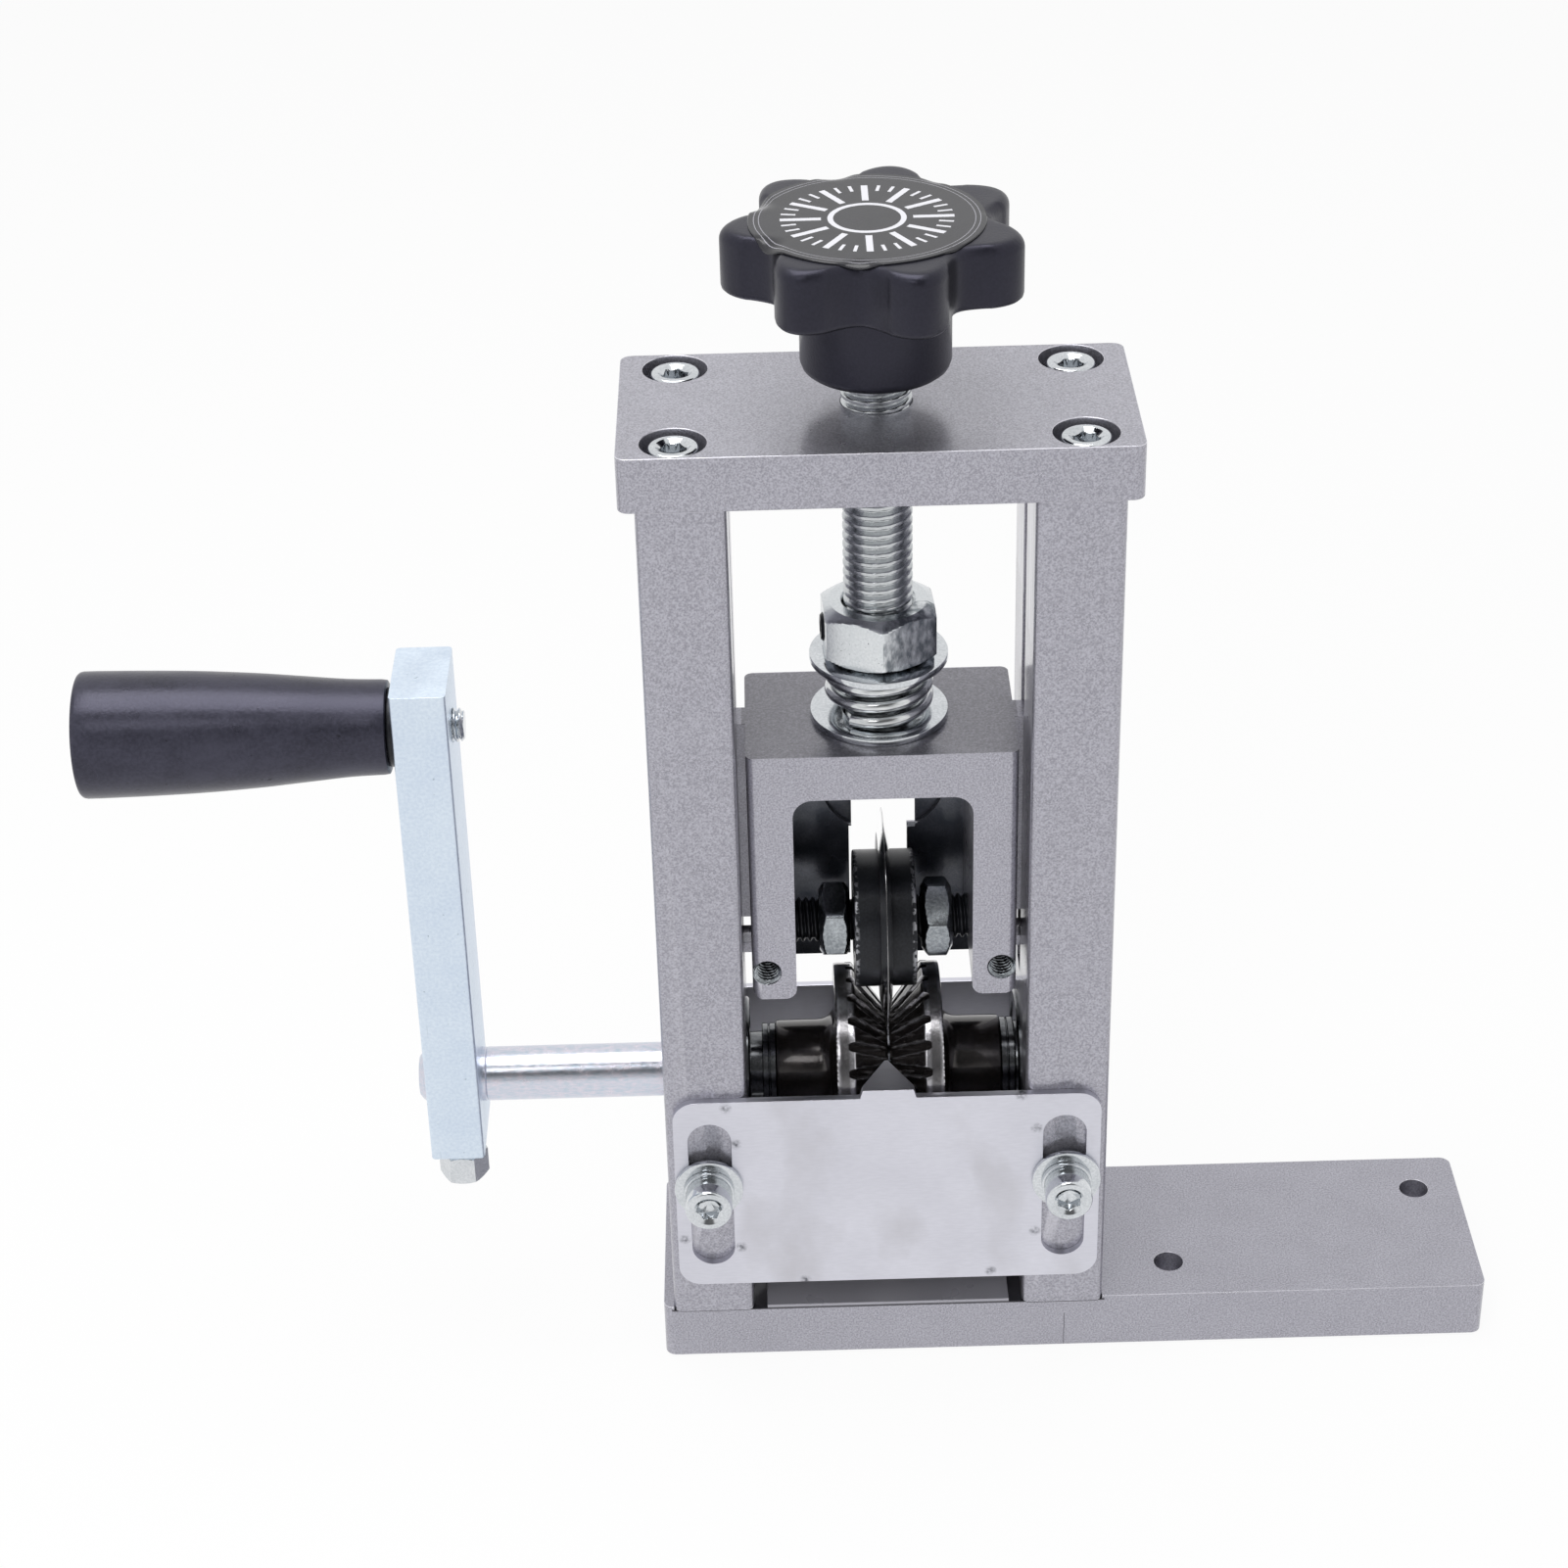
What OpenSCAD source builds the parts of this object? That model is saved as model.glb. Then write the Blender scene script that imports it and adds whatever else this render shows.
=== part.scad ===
// Hand crank wire stripper, in millimetres, +Z up.
// X runs along the foot, Y runs away from the front guide plate.
// The origin is on the underside of the base, midway between the two columns.

/* [Base] */
// Length of the base casting, from its left end to the end of the foot
base_length = 154; // [120:1:220]
// Depth of the base casting
base_depth = 39; // [36:0.5:60]
// Thickness of the base casting
base_thickness = 11.5; // [10:0.5:20]
// How far the base runs past the left column
base_overhang = 2; // [1:0.5:10]
// Radius of the upright corners of the base
base_corner = 2; // [1:0.5:4]
// Depth of the milled seats that the columns stand in
seat_depth = 0.8; // [0.4:0.1:2]
// How far each seat runs past its column on the inner side
seat_margin = 2.4; // [1:0.1:4]
// Diameter of the two bench holes in the foot
foot_hole_d = 5.5; // [4:0.1:8]
// Distance of the first bench hole from the right column
foot_hole_inset = 13.5; // [8:0.5:20]
// Distance between the bench holes along the foot
foot_hole_pitch_x = 50; // [20:1:50]
// Distance between the bench holes across the foot
foot_hole_pitch_y = 20; // [8:1:24]

/* [Columns] */
// Clear width between the columns
column_gap = 50; // [48:0.5:60]
// Width of a column
column_width = 15; // [14:0.5:20]
// Depth of a column
column_depth = 40; // [38:0.5:50]
// Height of a column
column_height = 167; // [164:1:200]
// Radius of the upright edges of a column
column_corner = 1.5; // [0.5:0.1:2.5]
// Width of the guide groove on the inner face
groove_width = 6; // [4:0.1:9]
// Depth of the guide groove
groove_depth = 1.9; // [1.2:0.1:2.5]

/* [Top plate] */
// Length of the top plate
top_plate_length = 85.5; // [84:0.5:110]
// Depth of the top plate
top_plate_depth = 40.5; // [39:0.5:60]
// Thickness of the top plate
top_plate_thickness = 9.7; // [8.5:0.1:16]
// Radius of the upright corners of the top plate
top_plate_corner = 2; // [1:0.5:4]
// Distance between the two column screws, front to back
column_screw_pitch = 28.8; // [20:0.2:30]
// Distance of the column screws from the outer face of the column
column_screw_inset = 6.6; // [6:0.1:8]
// How deep the heads of the top screws are sunk
head_sink = 0.5; // [0.2:0.1:2.5]

/* [Lifting screw and knob] */
// Outer diameter of the lifting screw
screw_d = 11.9; // [10:0.1:12.5]
// Pitch of the lifting screw
screw_pitch = 1.75; // [1.25:0.25:2.5]
// Width across the flats of the stop nut
nut_af = 19; // [17:0.5:19.5]
// Height of the stop nut
nut_height = 10; // [8:0.5:12]
// Outer diameter of the two spring washers
spring_washer_d = 24; // [21:0.5:26]
// Thickness of the two spring washers
spring_washer_t = 1.3; // [1:0.1:2]
// Space between the knob and the top plate when the blade is lowered
knob_lift = 6.1; // [3:0.1:12]
// Diameter over the lobes of the knob
knob_d = 50.2; // [46:0.2:60]
// Number of lobes
knob_lobes = 7; // [5:1:9]
// Height of the lobed head of the knob
knob_head_h = 10.8; // [8:0.2:14]
// Diameter of the neck of the knob
knob_neck_d = 25; // [20:0.5:28]
// Height of the neck of the knob
knob_neck_h = 14.7; // [12:0.1:20]
// Diameter of the round label on the knob
label_d = 38.4; // [24:0.2:40]

/* [Pressure spring] */
// Outer diameter of the pressure spring
spring_d = 18.9; // [18:0.1:20]
// Thickness of the spring wire
spring_wire = 2.3; // [1.6:0.1:2.4]
// Clear height between the two spring washers
spring_space = 9.85; // [9.5:0.05:12]
// Number of turns
spring_turns = 2.35; // [2:0.05:2.5]

/* [Blade carriage] */
// Depth of the carriage, front to back
carriage_depth = 30; // [29.5:0.1:34]
// Height of the carriage over its legs
carriage_height = 49.8; // [48:0.1:54]
// Space between the carriage and each column
carriage_side_gap = 1.6; // [1:0.1:1.8]
// Width of each leg of the carriage
leg_width = 7.8; // [7:0.1:8.6]
// Thickness of the bridge over the window
bridge_thickness = 8.6; // [7:0.1:10]
// Radius of the upper window corners
window_corner = 3.5; // [2:0.1:5]
// Radius of the lower corners of the legs
leg_corner = 2; // [0.5:0.1:3]
// Height of the blade axle over the foot of the legs
axle_height = 6.9; // [5.5:0.1:9]
// Thickness of the slotted rear wall
rear_wall_t = 2.1; // [1.5:0.1:2.2]
// How far the rear wall runs below the legs
rear_wall_drop = 9.4; // [6:0.1:9.6]
// Width of the blade slot in the rear wall
rear_slot_w = 10.6; // [8:0.1:14]
// Diameter of the round pocket in the rear wall
rear_pocket_d = 23; // [18:0.5:24]
// Diameter of the two threaded holes in the front of the legs
leg_thread_d = 5; // [3:0.5:5]

/* [Blade] */
// Diameter of the round blade
blade_d = 39.8; // [38.5:0.1:40.5]
// Thickness of the round blade
blade_t = 2; // [1.6:0.1:3]
// Width of the ground bevel
blade_bevel = 4.5; // [3:0.1:6]
// Diameter of the two blade flanges
flange_d = 24.8; // [22:0.1:25]
// Width over both flanges
flange_stack = 11; // [10.5:0.1:12]
// Height of the cutting edge over the centre of the feed wheels
blade_edge_height = 12.5; // [11.9:0.1:14]
// Diameter of the blade axle
axle_d = 8; // [6:0.5:8]
// Width across the flats of the axle nuts
axle_nut_af = 13; // [12:0.5:14]
// Height of an axle nut
axle_nut_h = 5.5; // [5:0.1:6.5]

/* [Feed wheels] */
// Height of the drive shaft over the underside of the base
shaft_height = 52.5; // [50:0.5:56]
// Diameter of the drive shaft
shaft_d = 10; // [9:0.5:10]
// Largest diameter of a feed wheel
wheel_d = 37.6; // [36:0.2:38]
// Diameter of the small end of a feed wheel
wheel_nose_d = 20.8; // [13:0.2:22]
// Axial depth of the toothed cone
wheel_cone = 6.2; // [5.8:0.05:6.4]
// Width of the smooth rim
wheel_rim = 3.4; // [3:0.1:4.2]
// Diameter of the hub
wheel_hub_d = 17; // [16:0.2:20]
// Length of the hub
wheel_hub_l = 10.9; // [9:0.1:11.2]
// Number of teeth
wheel_teeth = 24; // [16:1:28]
// Width of the space between two teeth
tooth_gap = 1.6; // [1.2:0.1:2.2]
// Depth of the teeth at the rim
tooth_depth = 1.2; // [0.8:0.1:2]
// How far the feed wheels meet from the middle of the columns
cut_offset = 1; // [-1:0.1:1]
// How far the blade lies to the left of the plane where the wheels meet
blade_shift = 0.5; // [0:0.1:0.6]
// Outer diameter of the shaft bearings
bearing_d = 26; // [24:0.5:28]
// Width of the shaft bearings
bearing_w = 8; // [6:0.5:9]
// How far the bearings stand out of the columns
bearing_proud = 0.6; // [0.2:0.1:0.8]

/* [Crank] */
// Distance of the crank arm from the left column
arm_reach = 34.2; // [20:0.2:60]
// Thickness of the crank arm
arm_thickness = 9.8; // [9:0.1:14]
// Width of the crank arm
arm_width = 18; // [16:0.5:24]
// Distance from the shaft to the grip bolt
crank_radius = 75; // [50:1:110]
// How far the arm runs below the shaft
arm_foot = 12.8; // [10:0.1:16]
// How far the arm runs above the grip bolt
arm_head = 10.7; // [8:0.1:14]
// How far the shaft shows past the arm
shaft_nose = 1.7; // [1:0.1:4]
// Length of the grip
grip_length = 53.6; // [45:0.2:80]
// Diameter of the grip at its free end
grip_outer_d = 22.2; // [19:0.1:28]
// Diameter of the grip beside the arm
grip_inner_d = 16.6; // [14:0.2:18]
// Diameter of the grip bolt
grip_bolt_d = 6; // [5:0.5:6.5]

/* [Guide plates] */
// Width of a guide plate
guide_width = 77.2; // [76:0.2:79]
// Height of a guide plate
guide_height = 41.6; // [38:0.2:44]
// Sheet thickness of a guide plate
guide_t = 1.5; // [1:0.1:2]
// Corner radius of a guide plate
guide_corner = 4.2; // [2:0.1:5]
// Width of a slot
slot_width = 7.8; // [6:0.1:8.6]
// Length of a slot
slot_length = 32; // [24:0.5:33]
// Distance between the middles of the two slots
slot_pitch = 64.2; // [63.4:0.2:65.8]
// Height of the plate screws over the underside of the base
guide_screw_height = 41.3; // [40:0.1:42]
// Height of the top edge of the front plate over the screws
front_plate_rise = 18.9; // [14:0.1:19.5]
// Height of the top edge of the rear plate over the screws
rear_plate_rise = 15.1; // [12:0.1:18]
// Width of the wire tongue where it leaves the front plate
tongue_width = 10.4; // [8:0.2:12]
// Height of the short riser below the bent tongue
tongue_riser = 1.8; // [1:0.1:2.5]
// How far the bent tongue reaches towards the feed wheels
tongue_reach = 7.7; // [5:0.1:8.4]
// Width of the outlet notch in the rear plate
notch_width = 12; // [8:0.5:16]
// Depth of the outlet notch in the rear plate
notch_depth = 10; // [6:0.5:14]

/* [Hidden] */
$fn = 64;

// One overrun for every cut that leaves a face
over = 0.5;
// Play between pieces that are bolted or pressed together
seat_play = 0.02;
// Play of a turning pin or shaft in its bore
run_play = 0.03;
// Play of sliding faces
slide_play = 0.15;
// Play between a turning face and its neighbour
face_play = 0.05;
// Small edge breaks on turned pieces
edge_break = 0.5;
fine_break = 0.3;
// Height of a broken hexagon corner for each unit of its width
hex_break_share = 0.6;
// Angle from a corner of a hexagon to its next flat
hex_half_turn = 30;

// Machine screws of the columns and of the guide plates
bolt_d = 5;
bolt_head_d = 8.5;
bolt_head_h = 5;
bolt_key_af = 4;
bolt_key_depth = 2.6;
bolt_thread_play = 0.05;
bolt_thread_run = 12;
bolt_tip_gap = 1.5;
bolt_counterbore_d = 11;
counterbore_wall = 1;
foot_counterbore_play = 0.5;
foot_head_sink = 0.6;
// Angles at which the key sockets came to rest
top_key_turn = 20;
top_key_step = 7;
guide_key_turn = 12;

// Guide plate fasteners
flat_washer_d = 12.5;
flat_washer_t = 1;
lock_washer_d = 9.2;
lock_washer_t = 1.2;
washer_hole_play = 0.15;
guide_bolt_grip = 7.5;
lock_washer_cut = 0.8;

// Derived heights of the frame
seat_z = base_thickness - seat_depth;
column_top = seat_z + column_height;
plate_top = column_top + top_plate_thickness;
column_outer = column_gap / 2 + column_width;
column_mid = column_gap / 2 + column_width / 2;
column_screw_x = min(
    column_outer - column_screw_inset,
    top_plate_length / 2 - bolt_counterbore_d / 2 - counterbore_wall
);
base_left = -column_outer - base_overhang;
groove_foot = 74;

// Feed wheels and shaft
wheel_nose_gap = 0.15;
wheel_fillet = 3;
wheel_edge = 0.4;
nose_tooth_depth = 0.3;
wheel_end = wheel_nose_gap + wheel_cone + wheel_rim + wheel_hub_l;
wheel_set_d = 5;
wheel_set_play = 0.05;
spacer_d = 16;
spacer_collar_d = 13;
spacer_ring_share = 0.46;
spacer_groove = 0.15;
spacer_groove_d = 15;
bearing_shield_sink = 0.4;
bearing_ring_t = 2.2;
shaft_hole_d = 12;
shaft_blind = 3;
shaft_chamfer = 1.3;
bearing_face = column_gap / 2 - bearing_proud;
shaft_right_end = bearing_face + bearing_w + shaft_blind - face_play;
spacer_l_left = bearing_face + cut_offset - wheel_end - face_play;
spacer_l_right = bearing_face - cut_offset - wheel_end - face_play;
spacer_ring = spacer_ring_share * min(spacer_l_left, spacer_l_right);

// Blade and its axle
blade_x = cut_offset - blade_shift;
blade_z = shaft_height + blade_edge_height + blade_d / 2;
blade_bore_d = 18;
blade_bearing_d = 14;
flange_break = 0.6;
axle_nut_left_gap = 0.7;
axle_nut_right_gap = 1.15;
axle_nut_break = 0.6;
axle_nut_left_turn = 5;
axle_nut_right_turn = 10;
carriage_bottom = blade_z - axle_height;
carriage_top = carriage_bottom + carriage_height;
carriage_width = column_gap - 2 * carriage_side_gap;
window_width = carriage_width - 2 * leg_width;
carriage_corner = 1.6;
tongue_bottom_gap = 2;
guide_tongue_out = groove_depth + carriage_side_gap - 2 * slide_play;
leg_thread_inset = 2.65;
leg_thread_x = carriage_width / 2 - leg_thread_inset;
leg_thread_drop = 1.25;
leg_thread_depth = (carriage_depth - axle_d) / 2;
leg_screw_l = 5;
leg_screw_key = 2.5;
leg_screw_key_depth = 2;
bridge_hole_play = 0.35;
rear_slot_top_gap = 3.5;
rear_pocket_drop = 12.7;
rear_pocket_depth = rear_wall_t / 2;
rear_slot_step = 1;

// Lifting screw stack
lower_washer_z = carriage_top;
spring_z = lower_washer_z + spring_washer_t;
upper_washer_z = spring_z + spring_space;
nut_z = upper_washer_z + spring_washer_t + face_play;
washer_bore_play = 0.55;
screw_root_share = 0.9;
screw_thread_play = 0.05;
retaining_gap = 0.1;
retaining_ring_t = 1.2;
retaining_ring_d = 16.5;
retaining_ring_cut = 3;
ring_groove_depth = 0.9;
screw_tail = 1.2;
retaining_washer_z = carriage_top - bridge_thickness - retaining_gap - spring_washer_t;
retaining_ring_z = retaining_washer_z - seat_play - retaining_ring_t;
screw_bottom = retaining_ring_z - screw_tail;
knob_z = plate_top + knob_lift;
knob_top = knob_z + knob_neck_h + knob_head_h;
screw_in_knob = 12;
knob_floor = 0.5;
set_screw_d = 5;
set_screw_out = 0.5;
set_screw_key_depth = 2;
nut_turn = 21;
nut_break = 0.7;
label_t = 0.3;
label_shift = 1.2;
knob_lobe_r = 7.2;
knob_valley_r = 5.5;
knob_body_r = 21;
knob_valley_share = 0.64;
knob_edge = 2;
knob_turn = 9;

// Pressure spring as one tube along a helix
spring_end_gap = 0.15;
spring_sides = 6;
spring_rings_per_turn = 8;
spring_start = -118;
spring_apart_share = 0.75;
spring_r = (spring_d - spring_wire) / 2;
spring_low = spring_z + spring_wire / 2 + spring_end_gap;
spring_rise = spring_space - spring_wire - 2 * spring_end_gap;
spring_steps = ceil(spring_turns * spring_rings_per_turn);

// Crank
arm_inner = -column_outer - arm_reach;
arm_outer = arm_inner - arm_thickness;
arm_edge = 0.8;
grip_axis_z = shaft_height + crank_radius;
grip_washer_t = 1.2;
grip_washer_d = 14;
grip_start = arm_outer - grip_washer_t - 2 * face_play;
grip_head_d = 10;
grip_head_h = 6;
grip_head_play = 0.5;
grip_bolt_nose = 2;
// Swell of the grip and the distance from the arm, as shares of the whole
grip_profile_shares = [
    [0.08, 0.12],
    [0.32, 0.26],
    [0.60, 0.42],
    [0.80, 0.58],
    [0.93, 0.76],
    [1, 0.94]
];
clamp_head_af = 8.4;
clamp_head_h = 6.2;
clamp_neck = 3.8;
clamp_d = 5;
clamp_turn = 4;

// Guide plates
plate_gap = 0.04;
guide_face = column_depth / 2 + plate_gap;
front_plate_top = guide_screw_height + front_plate_rise;
rear_plate_top = guide_screw_height + rear_plate_rise;
slot_top_gap = 4.8;
tongue_top_share = 0.88;
tongue_x = blade_x / 2;

// A rectangle with true round corners, centred
module rounded_rect(w, d, r) {
    union() {
        square([w - 2 * r, d], center = true);
        square([w, d - 2 * r], center = true);
        for (sx = [-1, 1], sy = [-1, 1])
            translate([sx * (w / 2 - r), sy * (d / 2 - r)])
                circle(r = r);
    }
}

// Turns a shape made along Z so that it lies along X
module along_x() {
    rotate([0, 90, 0])
        children();
}

// Turns a shape made along Z so that it points out of the front
module along_front() {
    rotate([90, 0, 0])
        children();
}

// Repeats a shape on the left and on the right
module both_sides(x) {
    for (s = [-1, 1])
        translate([s * x, 0, 0])
            children();
}

// A hexagonal bar with broken corners, standing on z = 0
module hex_bar(af, h, corner_break) {
    corner_r = af / sqrt(3);
    intersection() {
        cylinder(r = corner_r, h = h, $fn = 6);
        rotate_extrude()
            polygon([
                [0, 0],
                [corner_r - corner_break, 0],
                [corner_r, corner_break * hex_break_share],
                [corner_r, h - corner_break * hex_break_share],
                [corner_r - corner_break, h],
                [0, h]
            ]);
    }
}

// A nut with a threaded bore, standing on z = 0
module nut(af, h, bore_d, corner_break) {
    difference() {
        hex_bar(af, h, corner_break);
        translate([0, 0, -over])
            cylinder(d = bore_d, h = h + 2 * over);
    }
}

// A flat ring, standing on z = 0
module ring(outer_d, inner_d, h) {
    difference() {
        cylinder(d = outer_d, h = h);
        translate([0, 0, -over])
            cylinder(d = inner_d, h = h + 2 * over);
    }
}

// A threaded rod made of one groove per pitch, from z = 0 up to length
module threaded_rod(d, root_share, pitch, length) {
    turns = floor(length / pitch);
    rotate_extrude()
        polygon(concat(
            [[0, 0], [d * root_share / 2, 0]],
            [for (i = [0:turns - 1], k = [0, 1])
                k == 0
                    ? [d / 2, (i + 0.5) * length / turns]
                    : [d * root_share / 2, (i + 1) * length / turns]],
            [[0, length]]
        ));
}

// A socket head cap screw: head from z = 0 up, shank from z = 0 down
module cap_screw(d, head_d, head_h, key_af, key_depth, shank_l, key_turn) {
    difference() {
        union() {
            translate([0, 0, -shank_l])
                cylinder(d = d, h = shank_l + over);
            rotate_extrude()
                polygon([
                    [0, 0],
                    [head_d / 2, 0],
                    [head_d / 2, head_h - edge_break],
                    [head_d / 2 - edge_break, head_h],
                    [0, head_h]
                ]);
        }
        translate([0, 0, head_h - key_depth])
            rotate([0, 0, key_turn])
                cylinder(d = key_af * 2 / sqrt(3), h = key_depth + over, $fn = 6);
    }
}

// Places a shape at the four column screws
module at_column_screws() {
    for (sx = [-1, 1], sy = [-1, 1])
        translate([sx * column_screw_x, sy * column_screw_pitch / 2, 0])
            children();
}

module base_plate() {
    color("#a9a8b0")
    difference() {
        translate([base_left + base_length / 2, 0, 0])
            linear_extrude(base_thickness)
                rounded_rect(base_length, base_depth, base_corner);
        // Milled seats for the columns
        both_sides(column_mid - seat_margin / 2)
            translate([0, 0, seat_z + base_thickness / 2])
                cube([column_width + seat_margin + 2 * seat_play, base_depth + 2 * over, base_thickness],
                    center = true);
        // Bench holes in the foot
        for (s = [0, 1])
            translate([
                column_outer + foot_hole_inset + s * foot_hole_pitch_x,
                (s - 0.5) * foot_hole_pitch_y,
                -over
            ])
                cylinder(d = foot_hole_d, h = base_thickness + 2 * over);
        // Screw holes and head recesses under the columns
        at_column_screws() {
            translate([0, 0, -over])
                cylinder(d = bolt_d + 2 * bolt_thread_play, h = base_thickness + 2 * over);
            translate([0, 0, -over])
                cylinder(d = bolt_head_d + foot_counterbore_play, h = bolt_head_h + foot_head_sink + over);
        }
    }
}

// The right column; the left one is its mirror image with an open shaft hole
module column(shaft_hole_depth) {
    guide_bolt_depth = guide_bolt_grip + bolt_tip_gap;
    difference() {
        translate([column_mid, 0, seat_z])
            linear_extrude(column_height)
                rounded_rect(column_width, column_depth, column_corner);
        // Guide groove for the carriage
        translate([column_gap / 2 - over, -groove_width / 2, groove_foot])
            cube([groove_depth + over, groove_width, column_top]);
        // Bearing seat and shaft hole
        translate([column_gap / 2 - over, 0, shaft_height])
            along_x() {
                cylinder(d = bearing_d + 2 * seat_play, h = bearing_w - bearing_proud + over);
                cylinder(d = shaft_hole_d, h = shaft_hole_depth + over);
            }
        // Tapped holes for the top plate and the base
        for (sy = [-1, 1])
            translate([column_screw_x, sy * column_screw_pitch / 2, 0]) {
                translate([0, 0, column_top - bolt_thread_run - bolt_tip_gap])
                    cylinder(d = bolt_d + 2 * bolt_thread_play, h = column_height);
                translate([0, 0, seat_z - over])
                    cylinder(d = bolt_d + 2 * bolt_thread_play, h = bolt_thread_run + bolt_tip_gap + over);
            }
        // Tapped holes for the guide plates, front and rear
        for (s = [-1, 1])
            translate([column_mid, s * (column_depth / 2 + over), guide_screw_height])
                rotate([s * 90, 0, 0])
                    cylinder(d = bolt_d + 2 * bolt_thread_play, h = guide_bolt_depth + over);
    }
}

module left_column() {
    color("#a3a2a9")
    mirror([1, 0, 0])
        column(column_width + over);
}

module right_column() {
    color("#a3a2a9")
    column(bearing_w - bearing_proud + shaft_blind);
}

module top_plate() {
    color("#adacb4")
    difference() {
        translate([0, 0, column_top])
            linear_extrude(top_plate_thickness)
                rounded_rect(top_plate_length, top_plate_depth, top_plate_corner);
        // Thread for the lifting screw
        translate([0, 0, column_top - over])
            cylinder(d = screw_d + 2 * screw_thread_play, h = top_plate_thickness + 2 * over);
        // Counterbored screw holes
        at_column_screws() {
            translate([0, 0, column_top - over])
                cylinder(d = bolt_d + 2 * bolt_thread_play, h = top_plate_thickness + 2 * over);
            translate([0, 0, plate_top - bolt_head_h - head_sink])
                cylinder(d = bolt_counterbore_d, h = bolt_head_h + head_sink + over);
        }
    }
}

module top_plate_screws() {
    head_z = plate_top - bolt_head_h - head_sink;
    color("#d8dade")
    for (sx = [-1, 1], sy = [-1, 1])
        translate([sx * column_screw_x, sy * column_screw_pitch / 2, head_z])
            cap_screw(bolt_d, bolt_head_d, bolt_head_h, bolt_key_af, bolt_key_depth,
                head_z - column_top + bolt_thread_run, top_key_turn * sx + top_key_step * sy);
}

module column_foot_screws() {
    head_z = bolt_head_h + foot_head_sink;
    color("#d8dade")
    at_column_screws()
        translate([0, 0, head_z])
            mirror([0, 0, 1])
                cap_screw(bolt_d, bolt_head_d, bolt_head_h, bolt_key_af, bolt_key_depth,
                    seat_z - head_z + bolt_thread_run, 0);
}

module lifting_screw() {
    color("#c9ccd0")
    difference() {
        translate([0, 0, screw_bottom])
            threaded_rod(screw_d, screw_root_share, screw_pitch, knob_z + screw_in_knob - screw_bottom);
        // Groove for the retaining ring
        translate([0, 0, retaining_ring_z - seat_play])
            ring(screw_d + over, screw_d - 2 * ring_groove_depth, retaining_ring_t + 2 * seat_play);
    }
}

// Outline of the lobed head
module knob_outline() {
    lobe_ring = knob_d / 2 - knob_lobe_r;
    valley_ring = knob_body_r + knob_valley_r * knob_valley_share;
    difference() {
        union() {
            circle(r = knob_body_r);
            for (i = [0:knob_lobes - 1])
                rotate([0, 0, i * 360 / knob_lobes])
                    translate([lobe_ring, 0])
                        circle(r = knob_lobe_r);
        }
        for (i = [0:knob_lobes - 1])
            rotate([0, 0, (i + 0.5) * 360 / knob_lobes])
                translate([valley_ring, 0])
                    circle(r = knob_valley_r);
    }
}

module star_knob() {
    head_z = knob_z + knob_neck_h;
    color("#303038")
    difference() {
        union() {
            intersection() {
                translate([0, 0, head_z])
                    rotate([0, 0, -90 - knob_turn + 180 / knob_lobes])
                        linear_extrude(knob_head_h)
                            knob_outline();
                translate([0, 0, head_z])
                    rotate_extrude() {
                        square([knob_d / 2 - knob_edge, knob_head_h]);
                        square([knob_d / 2, knob_head_h - knob_edge]);
                        translate([knob_d / 2 - knob_edge, knob_head_h - knob_edge])
                            circle(r = knob_edge);
                    }
            }
            translate([0, 0, knob_z])
                rotate_extrude()
                    polygon([
                        [0, 0],
                        [knob_neck_d / 2 - edge_break, 0],
                        [knob_neck_d / 2, edge_break],
                        [knob_neck_d / 2, knob_neck_h + over],
                        [0, knob_neck_h + over]
                    ]);
        }
        translate([0, 0, knob_z - over])
            cylinder(d = screw_d + 2 * seat_play, h = screw_in_knob + knob_floor + over);
    }
}

// The label is stuck on a little off the middle
module knob_label() {
    color("#3c3c44")
    translate([-label_shift, 0, knob_top])
        cylinder(d = label_d, h = label_t);
}

module stop_nut() {
    color("#c4c8cc")
    difference() {
        translate([0, 0, nut_z])
            rotate([0, 0, -nut_turn])
                nut(nut_af, nut_height, screw_d + 2 * seat_play, nut_break);
        // Tapped hole for the set screw, square to one flat
        translate([0, 0, nut_z + nut_height / 2])
            rotate([0, 0, 180 - nut_turn + hex_half_turn])
                along_x()
                    cylinder(d = set_screw_d + 2 * seat_play, h = nut_af);
    }
}

module nut_set_screw() {
    set_screw_l = (nut_af - screw_d) / 2 + set_screw_out - face_play;
    color("#26262b")
    translate([0, 0, nut_z + nut_height / 2])
        rotate([0, 0, 180 - nut_turn + hex_half_turn])
            translate([nut_af / 2 + set_screw_out - set_screw_l, 0, 0])
                along_x()
                    difference() {
                        cylinder(d = set_screw_d, h = set_screw_l);
                        translate([0, 0, set_screw_l - set_screw_key_depth])
                            cylinder(d = set_screw_d / 2, h = set_screw_key_depth + over, $fn = 6);
                    }
}

// One of the two washers that hold the pressure spring
module spring_washer(z) {
    translate([0, 0, z])
        ring(spring_washer_d, screw_d + 2 * washer_bore_play, spring_washer_t);
}

module upper_spring_washer() {
    color("#cfd3d6")
    spring_washer(upper_washer_z);
}

module lower_spring_washer() {
    color("#cfd3d6")
    spring_washer(lower_washer_z);
}

// Centre of the spring wire after t of its whole turn count, t from 0 to 1
function spring_centre(t) = let (a = spring_start + 360 * spring_turns * t)
    [spring_r * cos(a), spring_r * sin(a), spring_low + spring_rise * t];

// Direction of the wire at t, level at both straight ends
function spring_heading(t) = let (a = spring_start + 360 * spring_turns * t)
    [-sin(a), cos(a), 0];

// Centres of all rings: a straight end, the helix, and a straight end
spring_line = concat(
    [spring_centre(0) - spring_wire * spring_heading(0)],
    [for (i = [0:spring_steps]) spring_centre(i / spring_steps)],
    [spring_centre(1) + spring_wire * spring_heading(1)]
);

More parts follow.
